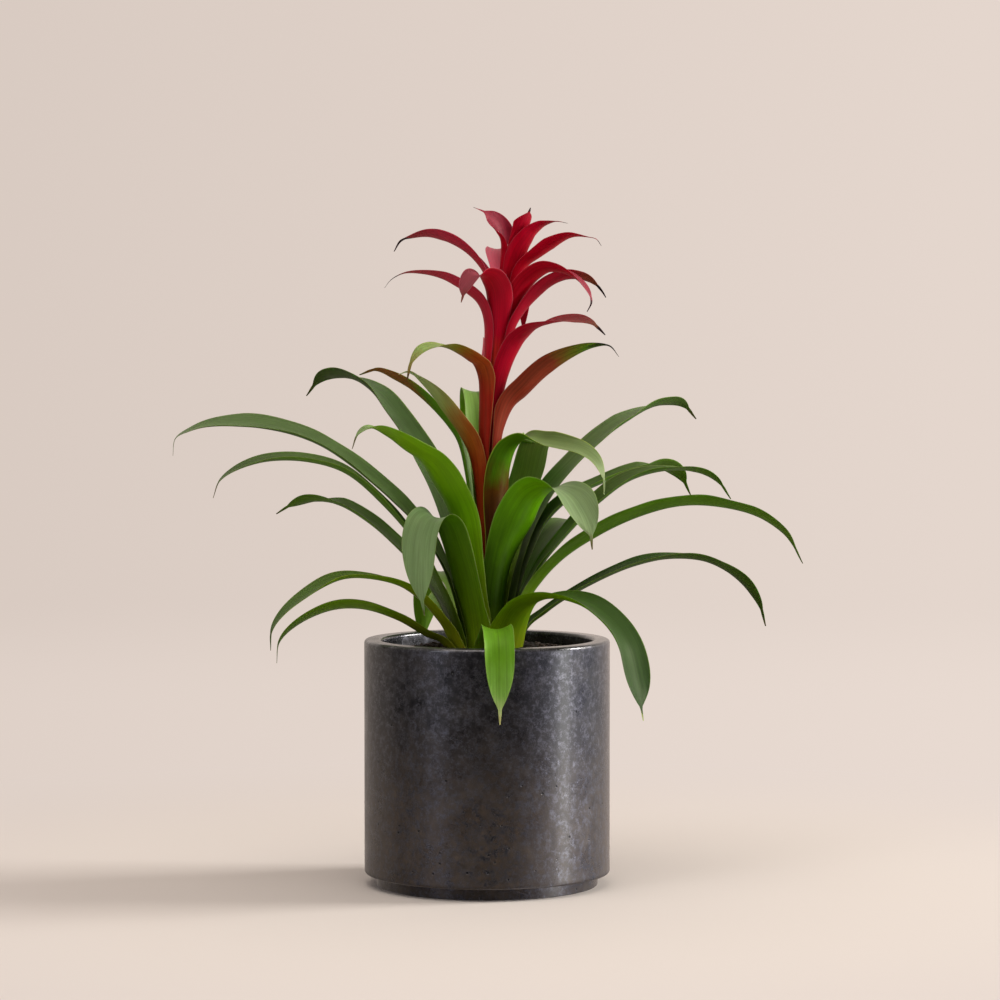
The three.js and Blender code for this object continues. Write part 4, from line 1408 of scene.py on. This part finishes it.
@dataclass(frozen=True)
class PolishedCastStone:
    """Dark cast stone: a graphite mix with fine pale grit, cast in a mould, ground smooth and waxed.

    The wax gives broad soft reflections over a cloudy grain, flakes of graphite gleam where light strikes
    them, and small air pits stay open. Low down the colour is painted lighter and browner in patches, a
    painted reflection of the pale floor, and there are more pits there. Heights are in metres, and a grain
    is its size in millimetres with how finely and sharply it breaks up.
    """

    dark: str = "#0e0e11"
    middle: str = "#171618"
    pale: str = "#332f2d"
    # Painted reflection: the brown that the pale floor casts in the polish low on the pot.
    floor_reflection_colour: str = "#66584a"
    silver: str = "#807f85"
    pit_shadow: str = "#080707"
    cloud_grain: tuple[float, float, float] = (22.0, 5.0, 0.6)
    blotch_grain: tuple[float, float, float] = (7.0, 6.0, 0.75)
    grit_grain: tuple[float, float, float] = (5.0, 9.0, 0.85)
    blotch_share: float = 0.45
    blotch_depth_mm: float = 0.22
    tone_places: tuple[float, float, float] = (0.5, 0.7, 0.95)
    floor_reflection_heights: tuple[float, float] = (0.04, 0.15)
    floor_reflection_strength: float = 0.9
    graphite_levels: tuple[float, float] = (0.44, 0.66)
    graphite_power: float = 0.5
    pit_mm: float = 5.0
    pit_depth_mm: float = 0.35
    pit_heights: tuple[float, float] = (0.03, 0.13)
    pit_chances: tuple[float, float] = (0.14, 0.03)
    pit_edge: tuple[float, float] = (0.1, 0.22)
    roughness: tuple[float, float] = (0.2, 0.5)
    ior: float = 1.55
    wax: float = 0.6
    wax_roughness: float = 0.08
    wax_ior: float = 1.45

    def material(self) -> Material:
        """Makes the stone.

        Returns:
            The material.
        """
        material, tree = new_material("polished_cast_stone")
        place = add_node(tree, "ShaderNodeTexCoord").outputs["Object"]
        height = add_node(tree, "ShaderNodeSeparateXYZ", {"Vector": place}).outputs["Z"]
        clouds, blotches, grit = (
            add_node(
                tree,
                "ShaderNodeTexNoise",
                {"Vector": place, "Scale": MM_PER_METRE / size, "Detail": detail, "Roughness": sharpness},
            )
            for size, detail, sharpness in (self.cloud_grain, self.blotch_grain, self.grit_grain)
        )
        mixed = add_node(
            tree, "ShaderNodeMath", {0: blotches, 1: self.blotch_share, 2: clouds}, operation="MULTIPLY_ADD"
        )
        tones = tuple(zip(self.tone_places, (self.dark, self.middle, self.pale)))
        toned = add_node(tree, "ShaderNodeValToRGB", {"Fac": mixed}, stops=tones)
        # Painted reflection of the pale floor: lighter and browner low on the pot, in patches with the
        # blotches.
        lowness = add_node(
            tree,
            "ShaderNodeMapRange",
            {"Value": height, FROM: self.floor_reflection_heights, TO: (self.floor_reflection_strength, 0.0)},
            interpolation_type=SMOOTH,
        )
        floor_reflection_share = add_node(tree, "ShaderNodeMath", {0: lowness, 1: blotches}, operation="MULTIPLY")
        graphite = add_node(
            tree, "ShaderNodeMapRange", {"Value": grit, FROM: self.graphite_levels}, interpolation_type=SMOOTH
        )
        pits = self._pits(tree, place, height)
        colour = toned
        for share, laid in ((floor_reflection_share, self.floor_reflection_colour), (graphite, self.silver), (pits, self.pit_shadow)):
            mix = {"Factor": share, UNDER: colour, OVER: linear_colour(laid)}
            colour = add_node(tree, "ShaderNodeMix", mix, data_type="RGBA")
        metallic = add_node(tree, "ShaderNodeMath", {0: graphite, 1: self.graphite_power}, operation="POWER")
        roughness = add_node(
            tree, "ShaderNodeMapRange", {"Value": mixed, "From Min": self.tone_places[0], TO: self.roughness}
        )
        grain = add_node(
            tree, "ShaderNodeBump", {"Distance": self.blotch_depth_mm * METRES_PER_MM, "Height": blotches}
        )
        pitted = add_node(
            tree,
            "ShaderNodeBump",
            {"Distance": self.pit_depth_mm * METRES_PER_MM, "Height": pits, "Normal": grain},
            invert=True,
        )
        stone = add_node(
            tree,
            "ShaderNodeBsdfPrincipled",
            {
                "Base Color": colour,
                "Metallic": metallic,
                "Roughness": roughness,
                "IOR": self.ior,
                "Coat Weight": self.wax,
                "Coat Roughness": self.wax_roughness,
                "Coat IOR": self.wax_ior,
                "Normal": pitted,
            },
        )
        add_node(tree, "ShaderNodeOutputMaterial", {"Surface": stone})
        return material

    def _pits(self, tree: NodeTree, place: NodeSocket, height: NodeSocket) -> Node:
        """Scatters small round air pits.

        Args:
            tree: the material's node tree.
            place: where a point is.
            height: how high it is.

        Returns:
            1 inside a pit and 0 outside it.
        """
        cells = add_node(tree, "ShaderNodeTexVoronoi", {"Vector": place, "Scale": MM_PER_METRE / self.pit_mm})
        chance = add_node(
            tree, "ShaderNodeMapRange", {"Value": height, FROM: self.pit_heights, TO: self.pit_chances}
        )
        draw = add_node(tree, "ShaderNodeSeparateColor", {"Color": cells.outputs["Color"]}).outputs["Red"]
        is_pit = add_node(tree, "ShaderNodeMath", {0: draw, 1: chance}, operation="LESS_THAN")
        bowl = add_node(
            tree,
            "ShaderNodeMapRange",
            {"Value": cells.outputs["Distance"], FROM: self.pit_edge, TO: (1.0, 0.0)},
            interpolation_type=SMOOTH,
        )
        return add_node(tree, "ShaderNodeMath", {0: bowl, 1: is_pit}, operation="MULTIPLY")


@dataclass
class CastPot:
    """The round pot: a straight wall with a softened lip, on a recessed foot. Sizes in millimetres."""

    diameter: float = 184.0
    height: float = 184.0
    foot_diameter: float = 166.0
    foot_height: float = 9.0
    foot_ring: float = 12.0
    foot_edge: float = 1.0
    foot_round: float = 0.8
    crease: float = 0.6
    wall: float = 13.0
    floor_thickness: float = 16.0
    floor_round: float = 1.0
    floor_middle: float = 10.0
    lip_round: float = 2.5
    corner_round: float = 2.0
    sides: int = 288
    wall_rings: int = 120
    inner_rings: int = 12
    foot_steps: int = 4
    corner_steps: int = 6
    lip_steps: int = 8
    waviness: float = 0.12
    wave_length: float = 70.0
    wave_start: float = 12.0
    wave_turn: float = 0.7
    third_wave: float = 0.6
    seed: int = 31
    stone: PolishedCastStone = PolishedCastStone()

    def profile(self) -> list[tuple[float, float]]:
        """The pot's turned profile, from the middle of its underside to the middle of its floor.

        Returns:
            Radius and height of each ring.
        """
        outer = self.diameter / 2
        inner = outer - self.wall
        foot = self.foot_diameter / 2
        lip = self.height - self.lip_round
        base = self.foot_height + self.corner_round
        floor = self.floor_thickness + self.floor_round
        rows = [(foot - self.foot_ring, 0.0), (foot - self.foot_edge, 0.0)]
        rows += arc_points(
            (foot - self.foot_round, self.foot_round), self.foot_round, -90, 0, self.foot_steps
        )
        rows += [(foot, self.foot_height - self.crease), (foot, self.foot_height)]
        rows += [(foot + self.crease, self.foot_height)]
        rows += arc_points((outer - self.corner_round, base), self.corner_round, -90, 0, self.corner_steps)
        rows += [
            (outer, base + (lip - base) * step / self.wall_rings) for step in range(1, self.wall_rings)
        ]
        rows += arc_points((outer - self.lip_round, lip), self.lip_round, 0, 90, self.lip_steps)
        rows += arc_points((inner + self.lip_round, lip), self.lip_round, 90, 180, self.lip_steps)
        rows += [
            (inner, lip + (floor - lip) * step / self.inner_rings) for step in range(1, self.inner_rings + 1)
        ]
        rows += [(inner - self.floor_round, self.floor_thickness), (self.floor_middle, self.floor_thickness)]
        return rows

    def build(self) -> Object:
        """Builds and dresses the pot, a hair out of round as a cast one is.

        Returns:
            The pot's object.
        """
        rng = np.random.default_rng(self.seed)
        profile = self.profile()
        points = turned_points(profile, self.sides)
        heights = points[:, :, 2]
        angles = np.arctan2(points[:, :, 1], points[:, :, 0])
        free = smooth_step(heights, self.foot_height, self.foot_height + self.wave_start)
        swell = ripple(heights, self.wave_length, rng) * np.cos(2 * angles + self.wave_turn)
        swell += self.third_wave * np.cos(3 * angles)
        shrink = self.waviness * free * (1 + swell) / 2 / (self.diameter / 2)
        points[:, :, :2] *= (1 - shrink)[:, :, None]
        faces = turned_faces(len(profile), self.sides)
        piece = mesh_object("cast_pot", points, faces, self.stone.material())
        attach(piece, ROOT_BODY)
        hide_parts("pot")
        return piece


@dataclass(frozen=True)
class DampBark:
    """Composted bark and coir: torn by a shredder, dark and damp, matte with a faint wet gloss."""

    label: str
    dark: str
    pale: str
    grain_mm: float = 2.2
    grain_depth_mm: float = 0.4
    grain_detail: float = 4.0
    grain_sharpness: float = 0.65
    dark_place: float = 0.35
    pale_place: float = 0.7
    roughness: float = 0.85
    ior: float = 1.4

    def material(self) -> Material:
        """Makes the bark.

        Returns:
            The material.
        """
        material, tree = new_material(self.label)
        place = add_node(tree, "ShaderNodeTexCoord").outputs["Object"]
        grain = add_node(
            tree,
            "ShaderNodeTexNoise",
            {
                "Vector": place,
                "Scale": MM_PER_METRE / self.grain_mm,
                "Detail": self.grain_detail,
                "Roughness": self.grain_sharpness,
            },
        )
        stops = ((self.dark_place, self.dark), (self.pale_place, self.pale))
        colour = add_node(tree, "ShaderNodeValToRGB", {"Fac": grain}, stops=stops)
        bump = add_node(
            tree, "ShaderNodeBump", {"Distance": self.grain_depth_mm * METRES_PER_MM, "Height": grain}
        )
        bark = add_node(
            tree,
            "ShaderNodeBsdfPrincipled",
            {"Base Color": colour, "Roughness": self.roughness, "IOR": self.ior, "Normal": bump},
        )
        add_node(tree, "ShaderNodeOutputMaterial", {"Surface": bark})
        return material


@dataclass(frozen=True)
class Crumbs:
    """Loose torn pieces strewn over the mix. Each pair is a least and a greatest value.

    Lengths and lifts are in millimetres, widths and thicknesses are shares of a piece's length, and tears
    are how far its corners are drawn in or out.
    """

    name: str
    count: int
    lengths: tuple[float, float]
    finish: DampBark
    widths: tuple[float, float] = (0.4, 0.8)
    thicknesses: tuple[float, float] = (0.15, 0.35)
    tears: tuple[float, float] = (0.75, 1.2)
    lifts: tuple[float, float] = (0.2, 1.4)
    tilt: float = 0.3
    rows: int = 4
    columns: int = 8


@dataclass
class PottingMix:
    """The mix that fills the pot, mounded to the plant, with loose chips on top. Sizes in millimetres.

    Each wave of its lumps has how it runs in x and in y, its length and its strength.
    """

    radius: float = 78.7
    bottom: float = 16.3
    middle_radius: float = 1.5
    skirt: float = 12.0
    edge_height: float = 171.0
    crown_height: float = 178.0
    crown_radius: float = 36.0
    hollow_radius: float = 16.0
    hollow_depth: float = 9.0
    lump: float = 0.9
    lump_waves: tuple[tuple[float, float, float, float], ...] = (
        (1.0, 0.6, 19.0, 1.0), (-0.4, 1.0, 13.0, 1.0), (1.0, -1.0, 6.0, 0.7),
    )
    crumb: float = 0.35
    clear_radius: float = 28.0
    sides: int = 150
    rings: int = 54
    seed: int = 47
    mix: DampBark = DampBark("composted_bark", dark="#0d0906", pale="#2c2018")
    loose: tuple[Crumbs, ...] = (
        Crumbs(
            "bark_chips", 420, (2.2, 6.5),
            DampBark("bark_chips", dark="#1c120b", pale="#4a3424", grain_mm=1.4, roughness=0.7),
        ),
        Crumbs(
            "dry_flakes", 26, (1.0, 3.2),
            DampBark("dry_flakes", dark="#6c5c46", pale="#b09c80", grain_mm=1.2, roughness=0.8),
        ),
    )

    def surface(self, radii: np.ndarray) -> np.ndarray:
        """The height of the mix at a distance from the middle.

        Args:
            radii: distances from the middle.

        Returns:
            The height at each distance, before its lumps.
        """
        share = np.clip((self.radius - radii) / (self.radius - self.crown_radius), 0.0, 1.0)
        rise = self.edge_height + (self.crown_height - self.edge_height) * np.sin(share * math.pi / 2)
        return rise - self.hollow_depth * (1 - smooth_step(radii, self.hollow_radius, self.crown_radius))

    def build(self) -> list[Object]:
        """Builds the mix and its loose pieces.

        Returns:
            The mix, the bark chips and the pale flakes.
        """
        rng = np.random.default_rng(self.seed)
        radii = np.linspace(self.radius, self.middle_radius, self.rings)
        profile = [
            (self.middle_radius, self.bottom),
            (self.radius, self.bottom),
            (self.radius, self.edge_height - self.skirt),
        ]
        top = slice(len(profile) + 1, None)
        profile += list(zip(radii.tolist(), self.surface(radii).tolist()))
        points = turned_points(profile, self.sides)
        x, y = points[top, :, 0], points[top, :, 1]
        lumps = sum(
            strength * ripple(right * x + back * y, length, rng)
            for right, back, length, strength in self.lump_waves
        )
        points[top, :, 2] += self.lump * lumps + rng.normal(0.0, self.crumb, x.shape)
        faces = turned_faces(len(profile), self.sides)
        mound = mesh_object("potting_mix_mound", points, faces, self.mix.material())
        pieces = [mound] + [self._scatter(crumbs, rng) for crumbs in self.loose]
        for piece in pieces:
            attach(piece, ROOT_BODY)
        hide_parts("potting_mix")
        return pieces

    def _scatter(self, crumbs: Crumbs, rng: np.random.Generator) -> Object:
        """Strews flat torn pieces over the mix.

        Args:
            crumbs: what is strewn.
            rng: gives their places and shapes.

        Returns:
            One object with all the pieces.
        """
        ball = ball_points(crumbs.rows, crumbs.columns)
        ball_faces = ball_face_numbers(crumbs.rows, crumbs.columns)
        points, faces = [], []
        for number in range(crumbs.count):
            length = rng.uniform(*crumbs.lengths)
            width = length * rng.uniform(*crumbs.widths)
            thickness = length * rng.uniform(*crumbs.thicknesses)
            scale = np.array([length, width, thickness]) / 2
            x, y, z = (ball * scale * rng.uniform(*crumbs.tears, (len(ball), 1))).T
            turn, tilt = rng.uniform(0, 2 * math.pi), rng.normal(0, crumbs.tilt)
            x, z = x * math.cos(tilt) + z * math.sin(tilt), z * math.cos(tilt) - x * math.sin(tilt)
            x, y = x * math.cos(turn) - y * math.sin(turn), x * math.sin(turn) + y * math.cos(turn)
            out = math.sqrt(rng.uniform(self.clear_radius**2, (self.radius - length / 2 - 1) ** 2))
            angle = rng.uniform(0, 2 * math.pi)
            height = float(self.surface(np.array([out]))[0]) + rng.uniform(*crumbs.lifts)
            place = np.array([out * math.cos(angle), out * math.sin(angle), height])
            points.append(np.stack([x, y, z], axis=1) + place)
            faces.extend([[corner + number * len(ball) for corner in face] for face in ball_faces])
        return mesh_object(crumbs.name, np.concatenate(points), faces, crumbs.finish.material())


def ball_points(rows: int, columns: int) -> np.ndarray:
    """Points of a unit ball, with a point at each pole.

    Args:
        rows: rings between the poles.
        columns: points in each ring.

    Returns:
        One row of x, y, z for each point.
    """
    points = [(0.0, 0.0, -1.0)]
    for row in range(1, rows + 1):
        tilt = math.pi * row / (rows + 1) - math.pi / 2
        for column in range(columns):
            turn = 2 * math.pi * column / columns
            points.append((math.cos(tilt) * math.cos(turn), math.cos(tilt) * math.sin(turn), math.sin(tilt)))
    points.append((0.0, 0.0, 1.0))
    return np.array(points)


def ball_face_numbers(rows: int, columns: int) -> list[tuple[int, ...]]:
    """Numbers the faces of a ball from ball_points.

    Args:
        rows: rings between the poles.
        columns: points in each ring.

    Returns:
        The point numbers of each face.
    """
    faces = [tuple(number + 1 for number in face) for face in stitch_grid(rows, columns, closed=True)]
    top = rows * columns + 1
    for column in range(columns):
        beside = (column + 1) % columns
        faces.append((0, 1 + beside, 1 + column))
        faces.append((top, top - columns + column, top - columns + beside))
    return faces


@dataclass
class FlowerStem:
    """The stem between the leaves and the bracts, with the squat crown that carries the leaves."""

    finish: DampBark = DampBark("stem_bark", dark="#4a1c10", pale="#7a3a1c", grain_mm=3.0, roughness=0.6)

    def dress(self, nodes: Mapping[str, Object]) -> Object:
        """Gives the stem its skin.

        Args:
            nodes: the part's solids by name.

        Returns:
            The stem's object.
        """
        stem = nodes["stem"]
        stem.data.materials.clear()
        stem.data.materials.append(self.finish.material())
        return stem


@dataclass(frozen=True)
class SoftBox:
    """A soft studio lamp: a lit rectangle turned to a point. Places and sizes are in metres."""

    name: str
    place: tuple[float, float, float]
    target: tuple[float, float, float]
    size: tuple[float, float]
    watts: float
    colour: str

    def build(self) -> None:
        """Makes the lamp."""
        lamp = bpy.data.lights.new(self.name, "AREA")
        lamp.shape = "RECTANGLE"
        lamp.size, lamp.size_y = self.size
        lamp.energy = self.watts
        lamp.color = linear_colour(self.colour)[:3]
        holder = bpy.data.objects.new(self.name, lamp)
        holder.location = self.place
        aim = Vector(self.target) - Vector(self.place)
        holder.rotation_euler = aim.to_track_quat("-Z", "Y").to_euler()
        holder.visible_camera = False
        bpy.context.scene.collection.objects.link(holder)


@dataclass
class Studio:
    """A pale seamless floor, a pale surround, soft lamps and the camera. Metres and degrees.

    The panels are the dark flags and pale boards round the plant: a heading and a colour for each stop,
    with 0 at the camera and 90 at the right. The pieces that kept_from_polish names show in no reflection.
    """

    camera_distance: float = 2.583
    camera_height: float = 0.405
    focal_length_mm: float = 124.56
    sensor_width_mm: float = 36.0
    sight: float = 60.0
    tilt_down: float = 2.594
    turn_right: float = 0.2136
    sides: int = 96
    floor_rings: tuple[float, ...] = (0.05, 0.3, 0.6, 1.2)
    surround_rings: tuple[float, ...] = (1.2, 2.5, 5.0)
    surround_radius: float = 14.0
    dome_top: float = 89.0
    dome_steps: int = 40
    paint_colour: str = "#ddd5ce"
    paint_roughness: float = 0.9
    painted: tuple[float, float] = (0.28, 0.75)
    floor_tones: tuple[str, str] = ("#dfd1c8", "#e8dad1")
    wall_tones: tuple[str, str] = ("#d9cbc2", "#e4d6cd")
    wall_start: tuple[float, float] = (1.3, 3.0)
    tone_distance: float = 2.6
    tone_spread: float = 0.135
    air_front: str = "#74706e"
    air_back: str = "#ddd0c8"
    air_turn: tuple[float, float] = (-0.6, 0.9)
    panels: tuple[tuple[float, str], ...] = (
        (-180, "#5c5550"), (-104, "#4c4743"), (-92, "#222020"), (-84, "#0a0a0b"), (-63, "#0a0a0b"),
        (-57, "#47474f"), (-42, "#4d4d56"), (-36, "#0d0d0f"), (0, "#0b0b0c"), (26, "#0f0f11"),
        (42, "#45454d"), (58, "#5c5c66"), (67, "#b0b0ba"), (74, "#ffffff"), (80, "#ffffff"),
        (86, "#a0a0aa"), (94, "#747480"), (108, "#70707a"), (117, "#606064"), (150, "#6a625e"),
        (180, "#6c645e"),
    )
    panel_strength: float = 4.6
    panel_tops: tuple[float, float] = (0.06, 0.3)
    panel_feet: tuple[float, float] = (-0.2, -0.07)
    panel_foot_share: float = 0.4
    kept_from_polish: tuple[str, ...] = ("leaf_21_front_low",)
    lamps: tuple[SoftBox, ...] = (
        SoftBox("key_right", (3.9, 0.45, 1.75), (0.0, 0.0, 0.25), (1.5, 1.6), 185.0, "#fffcf8"),
        SoftBox("top", (-0.3, -0.9, 2.3), (0.0, 0.0, 0.2), (1.8, 1.8), 25.0, "#fff6ee"),
        SoftBox("fill_left", (-1.5, -1.6, 0.9), (0.0, 0.0, 0.25), (0.7, 1.3), 6.0, "#eef2ff"),
    )

    def build(self, pieces: Sequence[Object]) -> None:
        """Sets up the whole studio.

        Args:
            pieces: the plant's and the pot's objects.
        """
        for piece in pieces:
            piece.visible_glossy = not piece.name.startswith(self.kept_from_polish)
        self._floor()
        self._surround()
        self._world()
        for lamp in self.lamps:
            lamp.build()
        self._camera()
        bpy.context.scene.view_settings.view_transform = "Standard"

    def _camera(self) -> None:
        """Places the camera where the photograph was taken."""
        lens = bpy.data.cameras.new("camera")
        lens.lens = self.focal_length_mm
        lens.sensor_width = self.sensor_width_mm
        lens.clip_end = self.sight
        camera = bpy.data.objects.new("camera", lens)
        camera.location = (0.0, -self.camera_distance, self.camera_height)
        camera.rotation_euler = (math.radians(90 - self.tilt_down), 0.0, math.radians(-self.turn_right))
        bpy.context.scene.collection.objects.link(camera)
        bpy.context.scene.camera = camera

    def _tone(self, tree: NodeTree) -> Node:
        """The surround's tone: a little darker on the left, and darker on the wall than on the floor.

        Args:
            tree: the node tree that it is for.

        Returns:
            The tone's node.
        """
        place = add_node(tree, "ShaderNodeTexCoord").outputs["Object"]
        distance = add_node(tree, "ShaderNodeVectorMath", {0: place}, operation="LENGTH")
        reach = add_node(tree, "ShaderNodeMath", {0: distance, 1: self.tone_distance}, operation="ADD")
        sideways = add_node(tree, "ShaderNodeSeparateXYZ", {"Vector": place}).outputs["X"]
        lean = add_node(tree, "ShaderNodeMath", {0: sideways, 1: reach}, operation="DIVIDE")
        rightness = add_node(
            tree, "ShaderNodeMapRange", {"Value": lean, FROM: (-self.tone_spread, self.tone_spread)}
        )
        floor_tone, wall_tone = (
            add_node(tree, "ShaderNodeValToRGB", {"Fac": rightness}, stops=tuple(enumerate(tones)))
            for tones in (self.floor_tones, self.wall_tones)
        )
        rise = add_node(
            tree, "ShaderNodeMapRange", {"Value": distance, FROM: self.wall_start}, interpolation_type=SMOOTH
        )
        return add_node(
            tree, "ShaderNodeMix", {"Factor": rise, UNDER: floor_tone, OVER: wall_tone}, data_type="RGBA"
        )

    def _floor(self) -> None:
        """Lays the floor: matte paint near the plant, which glows with the surround's tone further out."""
        material, tree = new_material("matte_painted_floor")
        place = add_node(tree, "ShaderNodeTexCoord").outputs["Object"]
        distance = add_node(tree, "ShaderNodeVectorMath", {0: place}, operation="LENGTH")
        glowing = add_node(
            tree, "ShaderNodeMapRange", {"Value": distance, FROM: self.painted}, interpolation_type=SMOOTH
        )
        paint = add_node(
            tree,
            "ShaderNodeBsdfPrincipled",
            {
                "Base Color": linear_colour(self.paint_colour),
                "Roughness": self.paint_roughness,
                "Specular IOR Level": 0.0,
            },
        )
        glow = add_node(tree, "ShaderNodeEmission", {"Color": self._tone(tree)})
        mixed = add_node(tree, "ShaderNodeMixShader", {0: glowing, 1: paint, 2: glow})
        add_node(tree, "ShaderNodeOutputMaterial", {"Surface": mixed})
        points = turned_points([(ring * MM_PER_METRE, 0.0) for ring in self.floor_rings], self.sides)
        faces = stitch_grid(len(self.floor_rings), self.sides, closed=True) + [tuple(range(self.sides))]
        floor = mesh_object("studio_floor", points, faces, material)
        floor.visible_glossy = False

    def _surround(self) -> None:
        """Closes the studio with the far floor and a pale dome, which only the camera sees."""
        material, tree = new_material("pale_surround")
        glow = add_node(tree, "ShaderNodeEmission", {"Color": self._tone(tree)})
        add_node(tree, "ShaderNodeOutputMaterial", {"Surface": glow})
        profile = [(ring * MM_PER_METRE, 0.0) for ring in self.surround_rings]
        radius = self.surround_radius * MM_PER_METRE
        profile += arc_points((0.0, 0.0), radius, 0, self.dome_top, self.dome_steps)
        faces = stitch_grid(len(profile), self.sides, closed=True)
        dome = mesh_object("studio_surround", turned_points(profile, self.sides), faces, material)
        dome.visible_diffuse = False
        dome.visible_glossy = False
        dome.visible_transmission = False
        dome.visible_shadow = False

    def _world(self) -> None:
        """Fills the shadows with an even light that comes mostly from behind, off the pale wall.

        Low directions hold the flags and panels instead.
        """
        world = bpy.data.worlds.new("studio_air")
        world.use_nodes = True
        tree = world.node_tree
        tree.nodes.clear()
        towards = add_node(tree, "ShaderNodeTexCoord").outputs["Generated"]
        parts = add_node(tree, "ShaderNodeSeparateXYZ", {"Vector": towards})
        behind = add_node(
            tree,
            "ShaderNodeMapRange",
            {"Value": parts.outputs["Y"], FROM: self.air_turn},
            interpolation_type=SMOOTH,
        )
        air = add_node(
            tree,
            "ShaderNodeMix",
            {"Factor": behind, UNDER: linear_colour(self.air_front), OVER: linear_colour(self.air_back)},
            data_type="RGBA",
        )
        lowness = add_node(
            tree,
            "ShaderNodeMapRange",
            {"Value": parts.outputs["Z"], FROM: self.panel_tops, TO: (1.0, 0.0)},
            interpolation_type=SMOOTH,
        )
        light = add_node(
            tree,
            "ShaderNodeMix",
            {"Factor": lowness, UNDER: air, OVER: self._panels(tree, parts)},
            data_type="RGBA",
        )
        background = add_node(tree, "ShaderNodeBackground", {"Color": light})
        add_node(tree, "ShaderNodeOutputWorld", {"Surface": background})
        bpy.context.scene.world = world

    def _panels(self, tree: NodeTree, parts: Node) -> Node:
        """The dark flags and pale panels that stand upright round the plant and show in the pot's polish.

        Args:
            tree: the world's node tree.
            parts: the direction's parts, X, Y and Z.

        Returns:
            The light that comes from the direction.
        """
        ahead = add_node(tree, "ShaderNodeMath", {0: parts.outputs["Y"], 1: -1.0}, operation="MULTIPLY")
        turn = add_node(tree, "ShaderNodeMath", {0: parts.outputs["X"], 1: ahead}, operation="ARCTAN2")
        share = add_node(tree, "ShaderNodeMapRange", {"Value": turn, FROM: (-math.pi, math.pi)})
        stops = [((heading + 180) / 360, colour) for heading, colour in self.panels]
        colour = add_node(tree, "ShaderNodeValToRGB", {"Fac": share}, stops=stops)
        fade = add_node(
            tree,
            "ShaderNodeMapRange",
            {"Value": parts.outputs["Z"], FROM: self.panel_feet, TO: (self.panel_foot_share, 1.0)},
        )
        strength = add_node(tree, "ShaderNodeMath", {0: fade, 1: self.panel_strength}, operation="MULTIPLY")
        return add_node(tree, "ShaderNodeVectorMath", {0: colour, "Scale": strength}, operation="SCALE")


def main() -> None:
    """Builds the plant, its pot and the studio."""
    logging.basicConfig(level=logging.INFO, format="%(name)s: %(message)s")
    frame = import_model()
    pieces = [CastPot().build()]
    pieces += PottingMix().build()
    pieces.append(FlowerStem().dress(frame["nodes"]))
    pieces += Foliage(LEAVES, LEAF_HABIT, first_seed=100).build()
    pieces += Foliage(BRACTS, BRACT_HABIT, first_seed=200).build()
    Studio().build(pieces)
    total = 0
    for piece in pieces:
        piece.data.calc_loop_triangles()
        triangles = len(piece.data.loop_triangles)
        total += triangles
        LOG.info("%s: %d triangles", piece.name, triangles)
    LOG.info("%d pieces, %d triangles", len(pieces), total)


if __name__ == "__main__":
    main()
